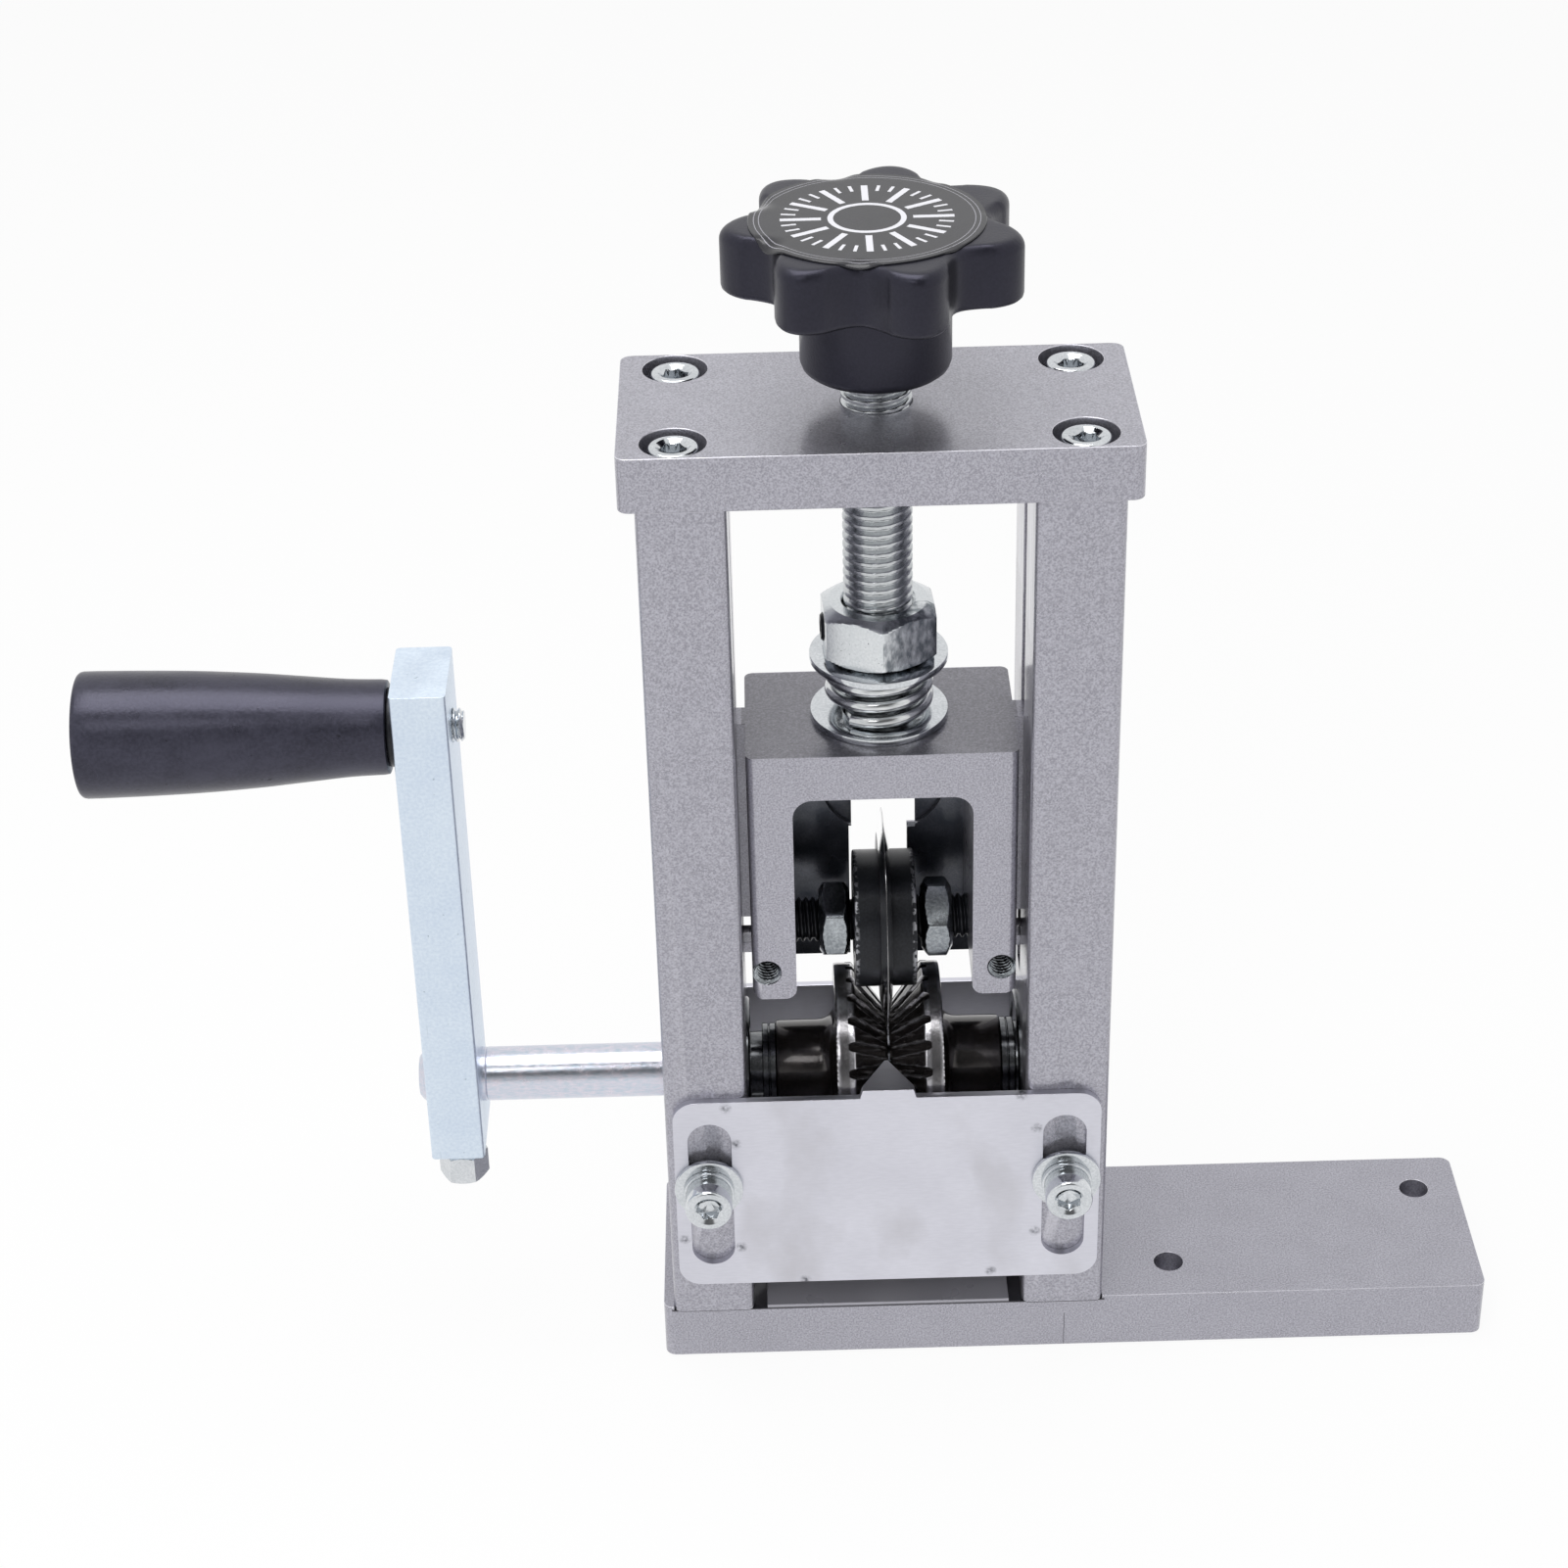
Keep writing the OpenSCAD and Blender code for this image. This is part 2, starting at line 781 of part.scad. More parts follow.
// Turn angle of each ring
spring_angles = concat(
    [spring_start],
    [for (i = [0:spring_steps]) spring_start + 360 * spring_turns * i / spring_steps],
    [spring_start + 360 * spring_turns]
);

// Least distance between rings that are at least three quarters of a turn apart
spring_apart = floor(spring_rings_per_turn * spring_apart_share);
spring_gaps = [
    for (i = [0:len(spring_line) - 1], j = [0:len(spring_line) - 1])
        if (j - i >= spring_apart)
            norm(spring_line[i] - spring_line[j]) - spring_wire
];
echo(spring_least_gap = min(spring_gaps));

module pressure_spring() {
    rings = len(spring_line);
    points = [
        for (i = [0:rings - 1], k = [0:spring_sides - 1])
            let (
                a = spring_angles[i],
                b = 360 * k / spring_sides,
                u = spring_wire / 2 * cos(b),
                v = spring_wire / 2 * sin(b)
            )
            spring_line[i] + [u * cos(a), u * sin(a), v]
    ];
    walls = [
        for (i = [0:rings - 2], k = [0:spring_sides - 1], h = [0, 1])
            let (
                n = (k + 1) % spring_sides,
                p = i * spring_sides + k,
                q = i * spring_sides + n,
                r = (i + 1) * spring_sides + k,
                s = (i + 1) * spring_sides + n
            )
            h == 0 ? [p, q, s] : [p, s, r]
    ];
    start_cap = [for (k = [1:spring_sides - 2]) [0, k + 1, k]];
    last = (rings - 1) * spring_sides;
    end_cap = [for (k = [1:spring_sides - 2]) [last, last + k, last + k + 1]];
    color("#b9bdc1")
    polyhedron(points, concat(walls, start_cap, end_cap), convexity = 10);
}

module retaining_washer() {
    color("#3a3b3f")
    translate([0, 0, retaining_washer_z])
        ring(nut_af, screw_d + 2 * seat_play, spring_washer_t);
}

// A spring ring that snaps into the groove, open at the back
module retaining_ring() {
    color("#3a3b3f")
    translate([0, 0, retaining_ring_z])
        difference() {
            ring(retaining_ring_d, screw_d - 2 * ring_groove_depth + 2 * seat_play, retaining_ring_t);
            translate([-retaining_ring_cut / 2, 0, -over])
                cube([retaining_ring_cut, retaining_ring_d, retaining_ring_t + 2 * over]);
        }
}

// The waste beside a round corner of radius r that stands on the origin
module corner_waste(r) {
    difference() {
        translate([-over, -over])
            square(r + over);
        translate([r, r])
            circle(r = r);
    }
}

module blade_carriage() {
    wall_z = carriage_bottom - rear_wall_drop;
    window_top = carriage_top - bridge_thickness;
    pocket_z = window_top - rear_pocket_drop;
    half_depth = carriage_depth / 2;
    color("#a6a5ab")
    difference() {
        union() {
            // Bridge and legs, with round upright edges
            difference() {
                translate([0, 0, carriage_bottom])
                    linear_extrude(carriage_height)
                        rounded_rect(carriage_width, carriage_depth, carriage_corner);
                // Window from the front, up to the rear wall
                translate([0, half_depth - rear_wall_t, 0])
                    along_front()
                        linear_extrude(carriage_depth)
                            union() {
                                translate([-window_width / 2, carriage_bottom - over])
                                    square([
                                        window_width,
                                        carriage_height - bridge_thickness - window_corner + over
                                    ]);
                                translate([-window_width / 2 + window_corner, carriage_bottom])
                                    square([
                                        window_width - 2 * window_corner,
                                        carriage_height - bridge_thickness
                                    ]);
                                for (s = [-1, 1])
                                    translate([
                                        s * (window_width / 2 - window_corner),
                                        window_top - window_corner
                                    ])
                                        circle(r = window_corner);
                                // Round lower corners of the legs
                                for (m = [0, 1])
                                    mirror([m, 0]) {
                                        translate([window_width / 2, carriage_bottom])
                                            corner_waste(leg_corner);
                                        translate([carriage_width / 2, carriage_bottom])
                                            mirror([1, 0])
                                                corner_waste(leg_corner);
                                    }
                            }
            }
            // Rear wall below the legs
            translate([-carriage_width / 2 + carriage_corner, half_depth - rear_wall_t, wall_z])
                cube([carriage_width - 2 * carriage_corner, rear_wall_t, rear_wall_drop + over]);
            // Guide tongues that run in the column grooves
            translate([
                -carriage_width / 2 - guide_tongue_out,
                -groove_width / 2 + slide_play,
                carriage_bottom + tongue_bottom_gap
            ])
                difference() {
                    cube([
                        carriage_width + 2 * guide_tongue_out,
                        groove_width - 2 * slide_play,
                        carriage_height - tongue_bottom_gap
                    ]);
                    translate([guide_tongue_out + over, -over, -over])
                        cube([
                            carriage_width - 2 * over,
                            groove_width + 2 * over,
                            carriage_height + 2 * over
                        ]);
                }
        }
        // Blade slot in the rear wall, wider in the floor of its round pocket
        translate([-rear_slot_w / 2, half_depth - rear_wall_t - over, wall_z - over])
            cube([
                rear_slot_w,
                rear_wall_t + 2 * over,
                pocket_z - rear_pocket_d / 2 + rear_slot_step - wall_z + 2 * over
            ]);
        translate([
            rear_slot_step - (rear_slot_w + rear_slot_step) / 2,
            half_depth - rear_wall_t - over,
            pocket_z - rear_pocket_d / 2 + rear_slot_step
        ])
            cube([
                rear_slot_w + rear_slot_step,
                rear_wall_t + 2 * over,
                window_top - rear_slot_top_gap - pocket_z + rear_pocket_d / 2 - rear_slot_step
            ]);
        translate([cut_offset, half_depth - rear_wall_t + rear_pocket_depth, pocket_z])
            along_front()
                cylinder(d = rear_pocket_d, h = rear_pocket_depth + over);
        // Hole for the lifting screw
        translate([0, 0, window_top - over])
            cylinder(d = screw_d + 2 * bridge_hole_play, h = bridge_thickness + 2 * over);
        // Holes for the blade axle
        translate([-carriage_width, 0, blade_z])
            along_x()
                cylinder(d = axle_d + 2 * seat_play, h = 2 * carriage_width);
        // Threaded holes in the front of the legs
        both_sides(leg_thread_x)
            translate([0, -half_depth - over, blade_z - leg_thread_drop])
                rotate([-90, 0, 0])
                    cylinder(d = leg_thread_d, h = leg_thread_depth + 2 * over);
    }
}

// Two set screws deep in the legs hold the axle
module axle_set_screws() {
    color("#26262b")
    both_sides(leg_thread_x)
        translate([0, -axle_d / 2 - face_play, blade_z - leg_thread_drop])
            along_front()
                difference() {
                    cylinder(d = leg_thread_d - 2 * seat_play, h = leg_screw_l);
                    translate([0, 0, leg_screw_l - leg_screw_key_depth])
                        cylinder(d = leg_screw_key * 2 / sqrt(3), h = leg_screw_key_depth + over, $fn = 6);
                }
}

module blade_axle() {
    axle_l = carriage_width - 2 * fine_break;
    color("#5b5f64")
    translate([-axle_l / 2, 0, blade_z])
        along_x()
            cylinder(d = axle_d, h = axle_l);
}

// A locknut on the blade axle; side is -1 on the left and 1 on the right,
// gap is the space between the nut and its flange
module axle_nut(side, gap, turn) {
    translate([blade_x + side * (flange_stack / 2 + gap), 0, blade_z])
        rotate([0, side * 90, 0])
            rotate([0, 0, turn])
                nut(axle_nut_af, axle_nut_h, axle_d + 2 * seat_play, axle_nut_break);
}

module axle_nut_left() {
    color("#70757a")
    axle_nut(-1, axle_nut_left_gap, axle_nut_left_turn);
}

module axle_nut_right() {
    color("#70757a")
    axle_nut(1, axle_nut_right_gap, axle_nut_right_turn);
}

module round_blade() {
    edge_flat = 0.1;
    color("#5d5f63")
    translate([blade_x, 0, blade_z])
        along_x()
            rotate_extrude($fn = 96)
                polygon([
                    [blade_bore_d / 2, -blade_t / 2],
                    [blade_d / 2 - blade_bevel, -blade_t / 2],
                    [blade_d / 2, -edge_flat / 2],
                    [blade_d / 2, edge_flat / 2],
                    [blade_d / 2 - blade_bevel, blade_t / 2],
                    [blade_bore_d / 2, blade_t / 2]
                ]);
}

// One flange: it clamps the blade and sits on the blade bearing
module blade_flange(side) {
    half = flange_stack / 2;
    inner = blade_t / 2;
    translate([blade_x, 0, blade_z])
        rotate([0, side * 90, 0])
            rotate_extrude()
                polygon([
                    [blade_bearing_d / 2 + seat_play, face_play],
                    [blade_bore_d / 2 - seat_play, face_play],
                    [blade_bore_d / 2 - seat_play, inner],
                    [flange_d / 2 - fine_break, inner],
                    [flange_d / 2, inner + fine_break],
                    [flange_d / 2, half - flange_break],
                    [flange_d / 2 - flange_break, half],
                    [blade_bearing_d / 2 + seat_play, half]
                ]);
}

module blade_flange_left() {
    color("#26282c")
    blade_flange(-1);
}

module blade_flange_right() {
    color("#26282c")
    blade_flange(1);
}

module blade_bearing() {
    color("#8d9196")
    translate([blade_x - flange_stack / 2 + face_play, 0, blade_z])
        along_x()
            ring(blade_bearing_d, axle_d + 2 * run_play, flange_stack - 2 * face_play);
}

// One feed wheel: nose at z = 0, hub pointing up along Z
module feed_wheel() {
    nose_r = wheel_nose_d / 2;
    rim_r = wheel_d / 2;
    hub_r = wheel_hub_d / 2;
    cone_end = wheel_nose_gap + wheel_cone;
    back = cone_end + wheel_rim;
    slope = atan2(wheel_cone + tooth_depth - nose_tooth_depth, rim_r - nose_r);
    difference() {
        rotate_extrude($fn = 96)
            difference() {
                polygon([
                    [0, wheel_nose_gap],
                    [nose_r, wheel_nose_gap],
                    [rim_r, cone_end],
                    [rim_r, back - wheel_edge],
                    [rim_r - wheel_edge, back],
                    [hub_r + wheel_fillet, back],
                    [hub_r + wheel_fillet, back + wheel_fillet],
                    [hub_r, back + wheel_fillet],
                    [hub_r, wheel_end - edge_break],
                    [hub_r - edge_break, wheel_end],
                    [0, wheel_end]
                ]);
                translate([hub_r + wheel_fillet, back + wheel_fillet])
                    circle(r = wheel_fillet);
            }
        translate([0, 0, -over])
            cylinder(d = shaft_d + 2 * seat_play, h = wheel_end + 2 * over);
        // Radial grooves that leave the teeth standing
        for (i = [0:wheel_teeth - 1])
            rotate([0, 0, i * 360 / wheel_teeth])
                translate([nose_r, -tooth_gap / 2, wheel_nose_gap + nose_tooth_depth])
                    rotate([0, -slope, 0])
                        translate([-nose_r, 0, -2 * tooth_depth - wheel_cone])
                            cube([rim_r + nose_r, tooth_gap, 2 * tooth_depth + wheel_cone]);
        // Tapped hole for the set screw
        translate([0, 0, back + wheel_hub_l / 2])
            along_x()
                cylinder(d = wheel_set_d + 2 * wheel_set_play, h = wheel_d);
    }
}

// Puts a wheel part on the shaft; side is -1 on the left and 1 on the right
module on_shaft(side) {
    translate([cut_offset, 0, shaft_height])
        rotate([0, side * 90, 0])
            rotate([0, 0, side == 1 ? 0 : 180])
                children();
}

module feed_wheel_left() {
    color("#3d3c40")
    on_shaft(-1)
        feed_wheel();
}

module feed_wheel_right() {
    color("#3d3c40")
    on_shaft(1)
        feed_wheel();
}

module wheel_set_screws() {
    screw_l = (wheel_hub_d - shaft_d) / 2 - 2 * face_play;
    color("#26262b")
    for (s = [-1, 1])
        on_shaft(s)
            translate([shaft_d / 2 + face_play, 0, wheel_end - wheel_hub_l / 2])
                along_x()
                    cylinder(d = wheel_set_d, h = screw_l);
}

module drive_shaft() {
    left_end = arm_outer - shaft_nose;
    shaft_l = shaft_right_end - left_end;
    color("#c3cad2")
    translate([left_end, 0, shaft_height])
        along_x()
            rotate_extrude()
                polygon([
                    [0, 0],
                    [shaft_d / 2 - shaft_chamfer, 0],
                    [shaft_d / 2, shaft_chamfer],
                    [shaft_d / 2, shaft_l - shaft_chamfer],
                    [shaft_d / 2 - shaft_chamfer, shaft_l],
                    [0, shaft_l]
                ]);
}

// A shielded ball bearing with its inner face at z = 0
module bearing() {
    outer_r = bearing_d / 2;
    bore_r = shaft_d / 2 + run_play;
    rotate_extrude()
        polygon([
            [bore_r, 0],
            [bore_r + bearing_ring_t, 0],
            [bore_r + bearing_ring_t, bearing_shield_sink],
            [outer_r - bearing_ring_t, bearing_shield_sink],
            [outer_r - bearing_ring_t, 0],
            [outer_r - fine_break, 0],
            [outer_r, fine_break],
            [outer_r, bearing_w],
            [bore_r, bearing_w]
        ]);
}

module shaft_bearing_left() {
    color("#b4b8bc")
    translate([-bearing_face, 0, shaft_height])
        rotate([0, -90, 0])
            bearing();
}

module shaft_bearing_right() {
    color("#b4b8bc")
    translate([bearing_face, 0, shaft_height])
        along_x()
            bearing();
}

// Two thin rings and a collar between a wheel hub and its bearing
module shaft_spacer(length) {
    bore_r = shaft_d / 2 + seat_play;
    rings_l = 2 * spacer_ring + spacer_groove;
    rotate_extrude()
        polygon([
            [bore_r, 0],
            [spacer_d / 2, 0],
            [spacer_d / 2, spacer_ring],
            [spacer_groove_d / 2, spacer_ring],
            [spacer_groove_d / 2, spacer_ring + spacer_groove],
            [spacer_d / 2, spacer_ring + spacer_groove],
            [spacer_d / 2, rings_l],
            [spacer_collar_d / 2, rings_l],
            [spacer_collar_d / 2, length],
            [bore_r, length]
        ]);
}

module shaft_spacer_left() {
    color("#74777c")
    on_shaft(-1)
        translate([0, 0, wheel_end])
            shaft_spacer(spacer_l_left);
}

module shaft_spacer_right() {
    color("#74777c")
    on_shaft(1)
        translate([0, 0, wheel_end])
            shaft_spacer(spacer_l_right);
}

module crank_arm() {
    arm_z = shaft_height - arm_foot;
    arm_h = arm_foot + crank_radius + arm_head;
    color("#ccd6e0")
    difference() {
        translate([(arm_inner + arm_outer) / 2, 0, arm_z])
            linear_extrude(arm_h)
                rounded_rect(arm_thickness, arm_width, arm_edge);
        // Bore for the shaft
        translate([arm_outer - over, 0, shaft_height])
            along_x()
                cylinder(d = shaft_d + 2 * seat_play, h = arm_thickness + 2 * over);
        // Bore for the grip bolt
        translate([arm_outer - over, 0, grip_axis_z])
            along_x()
                cylinder(d = grip_bolt_d + 2 * seat_play, h = arm_thickness + 2 * over);
        // Tapped hole for the clamp screw, from below up to the shaft
        translate([(arm_inner + arm_outer) / 2, 0, arm_z - over])
            cylinder(d = clamp_d + 2 * seat_play, h = arm_foot + over);
    }
}

module crank_clamp_screw() {
    arm_z = shaft_height - arm_foot;
    head_z = arm_z - clamp_neck - clamp_head_h;
    color("#c9d0d8")
    translate([(arm_inner + arm_outer) / 2, 0, head_z])
        union() {
            rotate([0, 0, clamp_turn])
                hex_bar(clamp_head_af, clamp_head_h, edge_break);
            cylinder(d = clamp_d, h = shaft_height - shaft_d / 2 - face_play - head_z);
        }
}

module grip_bolt() {
    head_x = grip_start - grip_length + grip_head_h;
    bolt_l = arm_inner + grip_bolt_nose - head_x;
    color("#c9ccd0")
    translate([head_x, 0, grip_axis_z])
        along_x()
            mirror([0, 0, 1])
                cap_screw(grip_bolt_d, grip_head_d, grip_head_h - grip_head_play, bolt_key_af,
                    bolt_key_depth, bolt_l, 0);
}

module grip_washer() {
    color("#b9bdc1")
    translate([arm_outer - grip_washer_t, 0, grip_axis_z])
        along_x()
            ring(grip_washer_d, grip_bolt_d + 2 * seat_play, grip_washer_t);
}

module crank_grip() {
    small_r = grip_inner_d / 2;
    large_r = grip_outer_d / 2;
    swell = large_r - small_r;
    color("#33333b")
    translate([grip_start, 0, grip_axis_z])
        rotate([0, -90, 0])
            difference() {
                rotate_extrude()
                    polygon([
                        [0, 0],
                        [small_r - edge_break, 0],
                        [small_r, edge_break],
                        for (p = grip_profile_shares)
                            [small_r + swell * p[0], grip_length * p[1]],
                        [large_r - edge_break, grip_length - edge_break],
                        [large_r - 2 * edge_break, grip_length],
                        [0, grip_length]
                    ]);
                translate([0, 0, -over])
                    cylinder(d = grip_bolt_d + 2 * run_play, h = grip_length + 2 * over);
                translate([0, 0, grip_length - grip_head_h - run_play])
                    cylinder(d = grip_head_d + grip_head_play, h = grip_head_h + run_play + over);
            }
}

// Outline of a slot that stands upright, centred
module slot_outline(w, l) {
    square([w, l - w], center = true);
    for (s = [-1, 1])
        translate([0, s * (l - w) / 2])
            circle(d = w);
}

// A guide plate with its face at y = 0, the sheet behind it on the +Y side
// and its top edge at z = 0; the children are added to its outline
module guide_plate() {
    translate([0, guide_t, 0])
        along_front()
            linear_extrude(guide_t)
                difference() {
                    union() {
                        translate([0, -guide_height / 2])
                            rounded_rect(guide_width, guide_height, guide_corner);
                        children();
                    }
                    for (s = [-1, 1])
                        translate([s * slot_pitch / 2, -slot_top_gap - slot_length / 2])
                            slot_outline(slot_width, slot_length);
                }
}

// The front plate has a tongue that leads the wire in between the wheels
module front_guide_plate() {
    riser_half = tongue_width / 2 * tongue_top_share;
    color("#d3d5dd")
    translate([0, -guide_face - guide_t, front_plate_top])
        union() {
            guide_plate()
                translate([tongue_x, 0])
                    polygon([
                        [-tongue_width / 2, -over],
                        [tongue_width / 2, -over],
                        [riser_half, tongue_riser],
                        [-riser_half, tongue_riser]
                    ]);
            translate([tongue_x, 0, tongue_riser - guide_t])
                linear_extrude(guide_t)
                    polygon([
                        [-riser_half, 0],
                        [riser_half, 0],
                        [riser_half, guide_t],
                        [fine_break, guide_t + tongue_reach],
                        [-fine_break, guide_t + tongue_reach],
                        [-riser_half, guide_t]
                    ]);
        }
}

// The rear plate has a round-bottomed notch that lets the wire out
module rear_guide_plate() {
    color("#d3d5dd")
    translate([0, guide_face + guide_t, rear_plate_top])
        difference() {
            mirror([0, 1, 0])
                guide_plate();
            translate([cut_offset, over, 0])
                along_front()
                    linear_extrude(guide_t + 2 * over)
                        slot_outline(notch_width, 2 * notch_depth);
        }
}

// Places a shape that points out along Z at both screws of a plate;
// side is -1 at the front and 1 at the rear, depth counts from the sheet
module at_guide_screws(side, depth) {
    for (sx = [-1, 1])
        translate([
            sx * column_mid,
            side * (guide_face + guide_t + plate_gap + depth),
            guide_screw_height
        ])
            rotate([-side * 90, 0, 0])
                children();
}

module guide_screws(side) {
    head_at = flat_washer_t + lock_washer_t;
    at_guide_screws(side, head_at)
        cap_screw(bolt_d, bolt_head_d, bolt_head_h, bolt_key_af, bolt_key_depth,
            head_at + plate_gap + guide_t + plate_gap + guide_bolt_grip, guide_key_turn);
}

// The cut of each lock washer faces down
module guide_lock_washers(side) {
    at_guide_screws(side, flat_washer_t)
        difference() {
            ring(lock_washer_d, bolt_d + 2 * washer_hole_play, lock_washer_t);
            rotate([0, 0, side * 90])
                translate([0, -lock_washer_cut / 2, -over])
                    cube([lock_washer_d, lock_washer_cut, lock_washer_t + 2 * over]);
        }
}

module guide_flat_washers(side) {
    at_guide_screws(side, 0)
        ring(flat_washer_d, bolt_d + 2 * washer_hole_play, flat_washer_t);
}

module front_plate_screws() {
    color("#d8dade")
    guide_screws(-1);
}

module front_plate_lock_washers() {
    color("#c6c9cd")
    guide_lock_washers(-1);
}

module front_plate_washers() {
    color("#d0d3d6")
    guide_flat_washers(-1);
}

module rear_plate_screws() {
    color("#d8dade")
    guide_screws(1);
}

module rear_plate_lock_washers() {
    color("#c6c9cd")
    guide_lock_washers(1);
}

module rear_plate_washers() {
    color("#d0d3d6")
    guide_flat_washers(1);
}

base_plate();
left_column();
right_column();
top_plate();
top_plate_screws();
column_foot_screws();
lifting_screw();
star_knob();
knob_label();
stop_nut();
nut_set_screw();
upper_spring_washer();
pressure_spring();
lower_spring_washer();
retaining_washer();
retaining_ring();
blade_carriage();
blade_axle();
axle_set_screws();
axle_nut_left();
axle_nut_right();
round_blade();
blade_flange_left();
blade_flange_right();
blade_bearing();
feed_wheel_left();
feed_wheel_right();
wheel_set_screws();
drive_shaft();
shaft_bearing_left();
shaft_bearing_right();
shaft_spacer_left();
shaft_spacer_right();
crank_arm();
crank_clamp_screw();
grip_bolt();
grip_washer();
crank_grip();
front_guide_plate();
rear_guide_plate();
front_plate_screws();
front_plate_lock_washers();
front_plate_washers();
rear_plate_screws();
rear_plate_lock_washers();
rear_plate_washers();
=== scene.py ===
# %% [markdown]
# A hand crank wire stripper slits the insulation of scrap cable on a bench. A crank turns two toothed wheels
# that pull the cable in under a round blade, and a knob on a long screw sets the cut. The CAD model of the
# tool is true to size, so it is loaded first, as a fixed frame of named pieces. Every finish and every finer
# shape below is then hung on that frame, and nothing has to be fitted by eye.

# %% Load the frame
import math

import bmesh
import bpy
import numpy as np
from mathutils import Matrix, Vector


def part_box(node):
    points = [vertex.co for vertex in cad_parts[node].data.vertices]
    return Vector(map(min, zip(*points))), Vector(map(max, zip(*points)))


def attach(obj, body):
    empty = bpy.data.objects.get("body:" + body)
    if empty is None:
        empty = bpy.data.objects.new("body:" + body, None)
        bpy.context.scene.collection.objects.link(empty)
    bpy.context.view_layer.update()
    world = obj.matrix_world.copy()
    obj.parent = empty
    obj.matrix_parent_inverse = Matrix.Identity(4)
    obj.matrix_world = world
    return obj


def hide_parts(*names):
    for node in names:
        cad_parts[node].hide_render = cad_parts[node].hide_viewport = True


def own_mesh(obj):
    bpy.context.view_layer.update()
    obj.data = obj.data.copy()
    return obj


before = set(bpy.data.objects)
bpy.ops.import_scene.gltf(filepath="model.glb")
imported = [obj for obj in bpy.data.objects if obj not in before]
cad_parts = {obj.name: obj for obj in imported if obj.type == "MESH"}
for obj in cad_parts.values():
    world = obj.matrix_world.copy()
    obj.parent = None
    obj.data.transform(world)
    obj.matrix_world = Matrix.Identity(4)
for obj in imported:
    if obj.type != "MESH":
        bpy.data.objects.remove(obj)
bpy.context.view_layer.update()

# %% [markdown]
# The frame is in metres, as everything in Blender is here, but a maker thinks in millimetres. One factor and
# one function translate: box_mm reads where a CAD piece lies, so that the finer shapes take their places and
# main sizes from the frame and only their own small details are typed as numbers.

# %% Millimetres
MM = 0.001


def box_mm(node):
    """Lowest and highest corner of a CAD piece at rest, in millimetres."""
    low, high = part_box(node)
    return np.array(low) / MM, np.array(high) / MM


shaft_low, shaft_high = box_mm("drive_shaft")
shaft_z = (shaft_low[2] + shaft_high[2]) / 2
blade_low, blade_high = box_mm("round_blade")
blade_x = (blade_low[0] + blade_high[0]) / 2
blade_z = (blade_low[2] + blade_high[2]) / 2
meet_x = (box_mm("feed_wheel_left")[1][0] + box_mm("feed_wheel_right")[0][0]) / 2
print("shaft axis at", round(shaft_z, 2), "mm, blade axis at", round(blade_z, 2), "mm")

# %% [markdown]
# The camera comes first, because it decides which details are worth making. Its place and its three turns
# were solved from the straight edges of the columns, the top plate and the base: it stands half a metre away,
# looks down by 31 degrees and leans by little more than one. The focal length is given in pixels of a square
# picture, and the sensor width turns it into millimetres.

# %% Camera
PICTURE_PIXELS = 1601
FOCAL_PIXELS = 3449.565
SENSOR_MM = 36.0
camera_at = (-17.787, -508.549, 423.637)
look_down, lean, turn = 31.375, -1.2997, 0.8940

camera_data = bpy.data.cameras.new("camera")
camera_data.sensor_width = SENSOR_MM
camera_data.lens = FOCAL_PIXELS / PICTURE_PIXELS * SENSOR_MM
camera_data.clip_start = 0.01
camera = bpy.data.objects.new("camera", camera_data)
bpy.context.scene.collection.objects.link(camera)
view_turn = (
    Matrix.Rotation(math.radians(look_down), 4, "X")
    @ Matrix.Rotation(math.radians(lean), 4, "Y")
    @ Matrix.Rotation(math.radians(turn), 4, "Z")
)
camera_place = Matrix.Translation([v * MM for v in camera_at])
camera.matrix_world = camera_place @ view_turn.inverted() @ Matrix.Rotation(math.radians(90), 4, "X")
bpy.context.scene.camera = camera
bpy.context.scene.view_settings.view_transform = "Standard"
print("lens", round(camera_data.lens, 2), "mm")

# %% [markdown]
# Materials are node trees. One function turns a colour as a painter writes it, in sRGB hex, into the linear
# numbers that a shader wants, and one adds a node with its settings and links, so that each material reads as
# a recipe.

# %% Colours and nodes
def linear(code):
    """Linear RGBA of an sRGB hex colour: each channel is c / 12.92 up to 0.04045, else
    ((c + 0.055) / 1.055) ** 2.4."""
    channels = np.array([int(code[i:i + 2], 16) for i in (1, 3, 5)]) / 255
    low = channels / 12.92
    high = ((channels + 0.055) / 1.055) ** 2.4
    return (*np.where(channels <= 0.04045, low, high).tolist(), 1.0)


def add(tree, kind, sockets=None, **settings):
    """Adds one node. Sockets are named or numbered, and take a value or another node's output."""
    node = tree.nodes.new(kind)
    for key, value in settings.items():
        setattr(node, key, value)
    for key, value in (sockets or {}).items():
        if isinstance(value, bpy.types.NodeSocket):
            tree.links.new(value, node.inputs[key])
        else:
            node.inputs[key].default_value = value
    return node


def grain(tree, size, stretch=(1, 1, 1), low=0.35, high=0.65, detail=2.0):
    """Noise whose grains are size millimetres across, stretched along an axis, as a factor from 0 to 1."""
    place = add(tree, "ShaderNodeTexCoord").outputs["Object"]
    scale = [1 / (size * MM * s) for s in stretch]
    place = add(tree, "ShaderNodeMapping", {"Vector": place, "Scale": scale}).outputs["Vector"]
    noise = add(tree, "ShaderNodeTexNoise", {"Vector": place, "Scale": 1.0, "Detail": detail})
    span = {"Value": noise.outputs["Fac"], "From Min": low, "From Max": high}
    return add(tree, "ShaderNodeMapRange", span).outputs["Result"]


def band(tree, value, centre, half):
    """1 where value lies within half of centre, else 0."""
    return add(tree, "ShaderNodeMath", {0: value, 1: centre, 2: half}, operation="COMPARE").outputs[0]


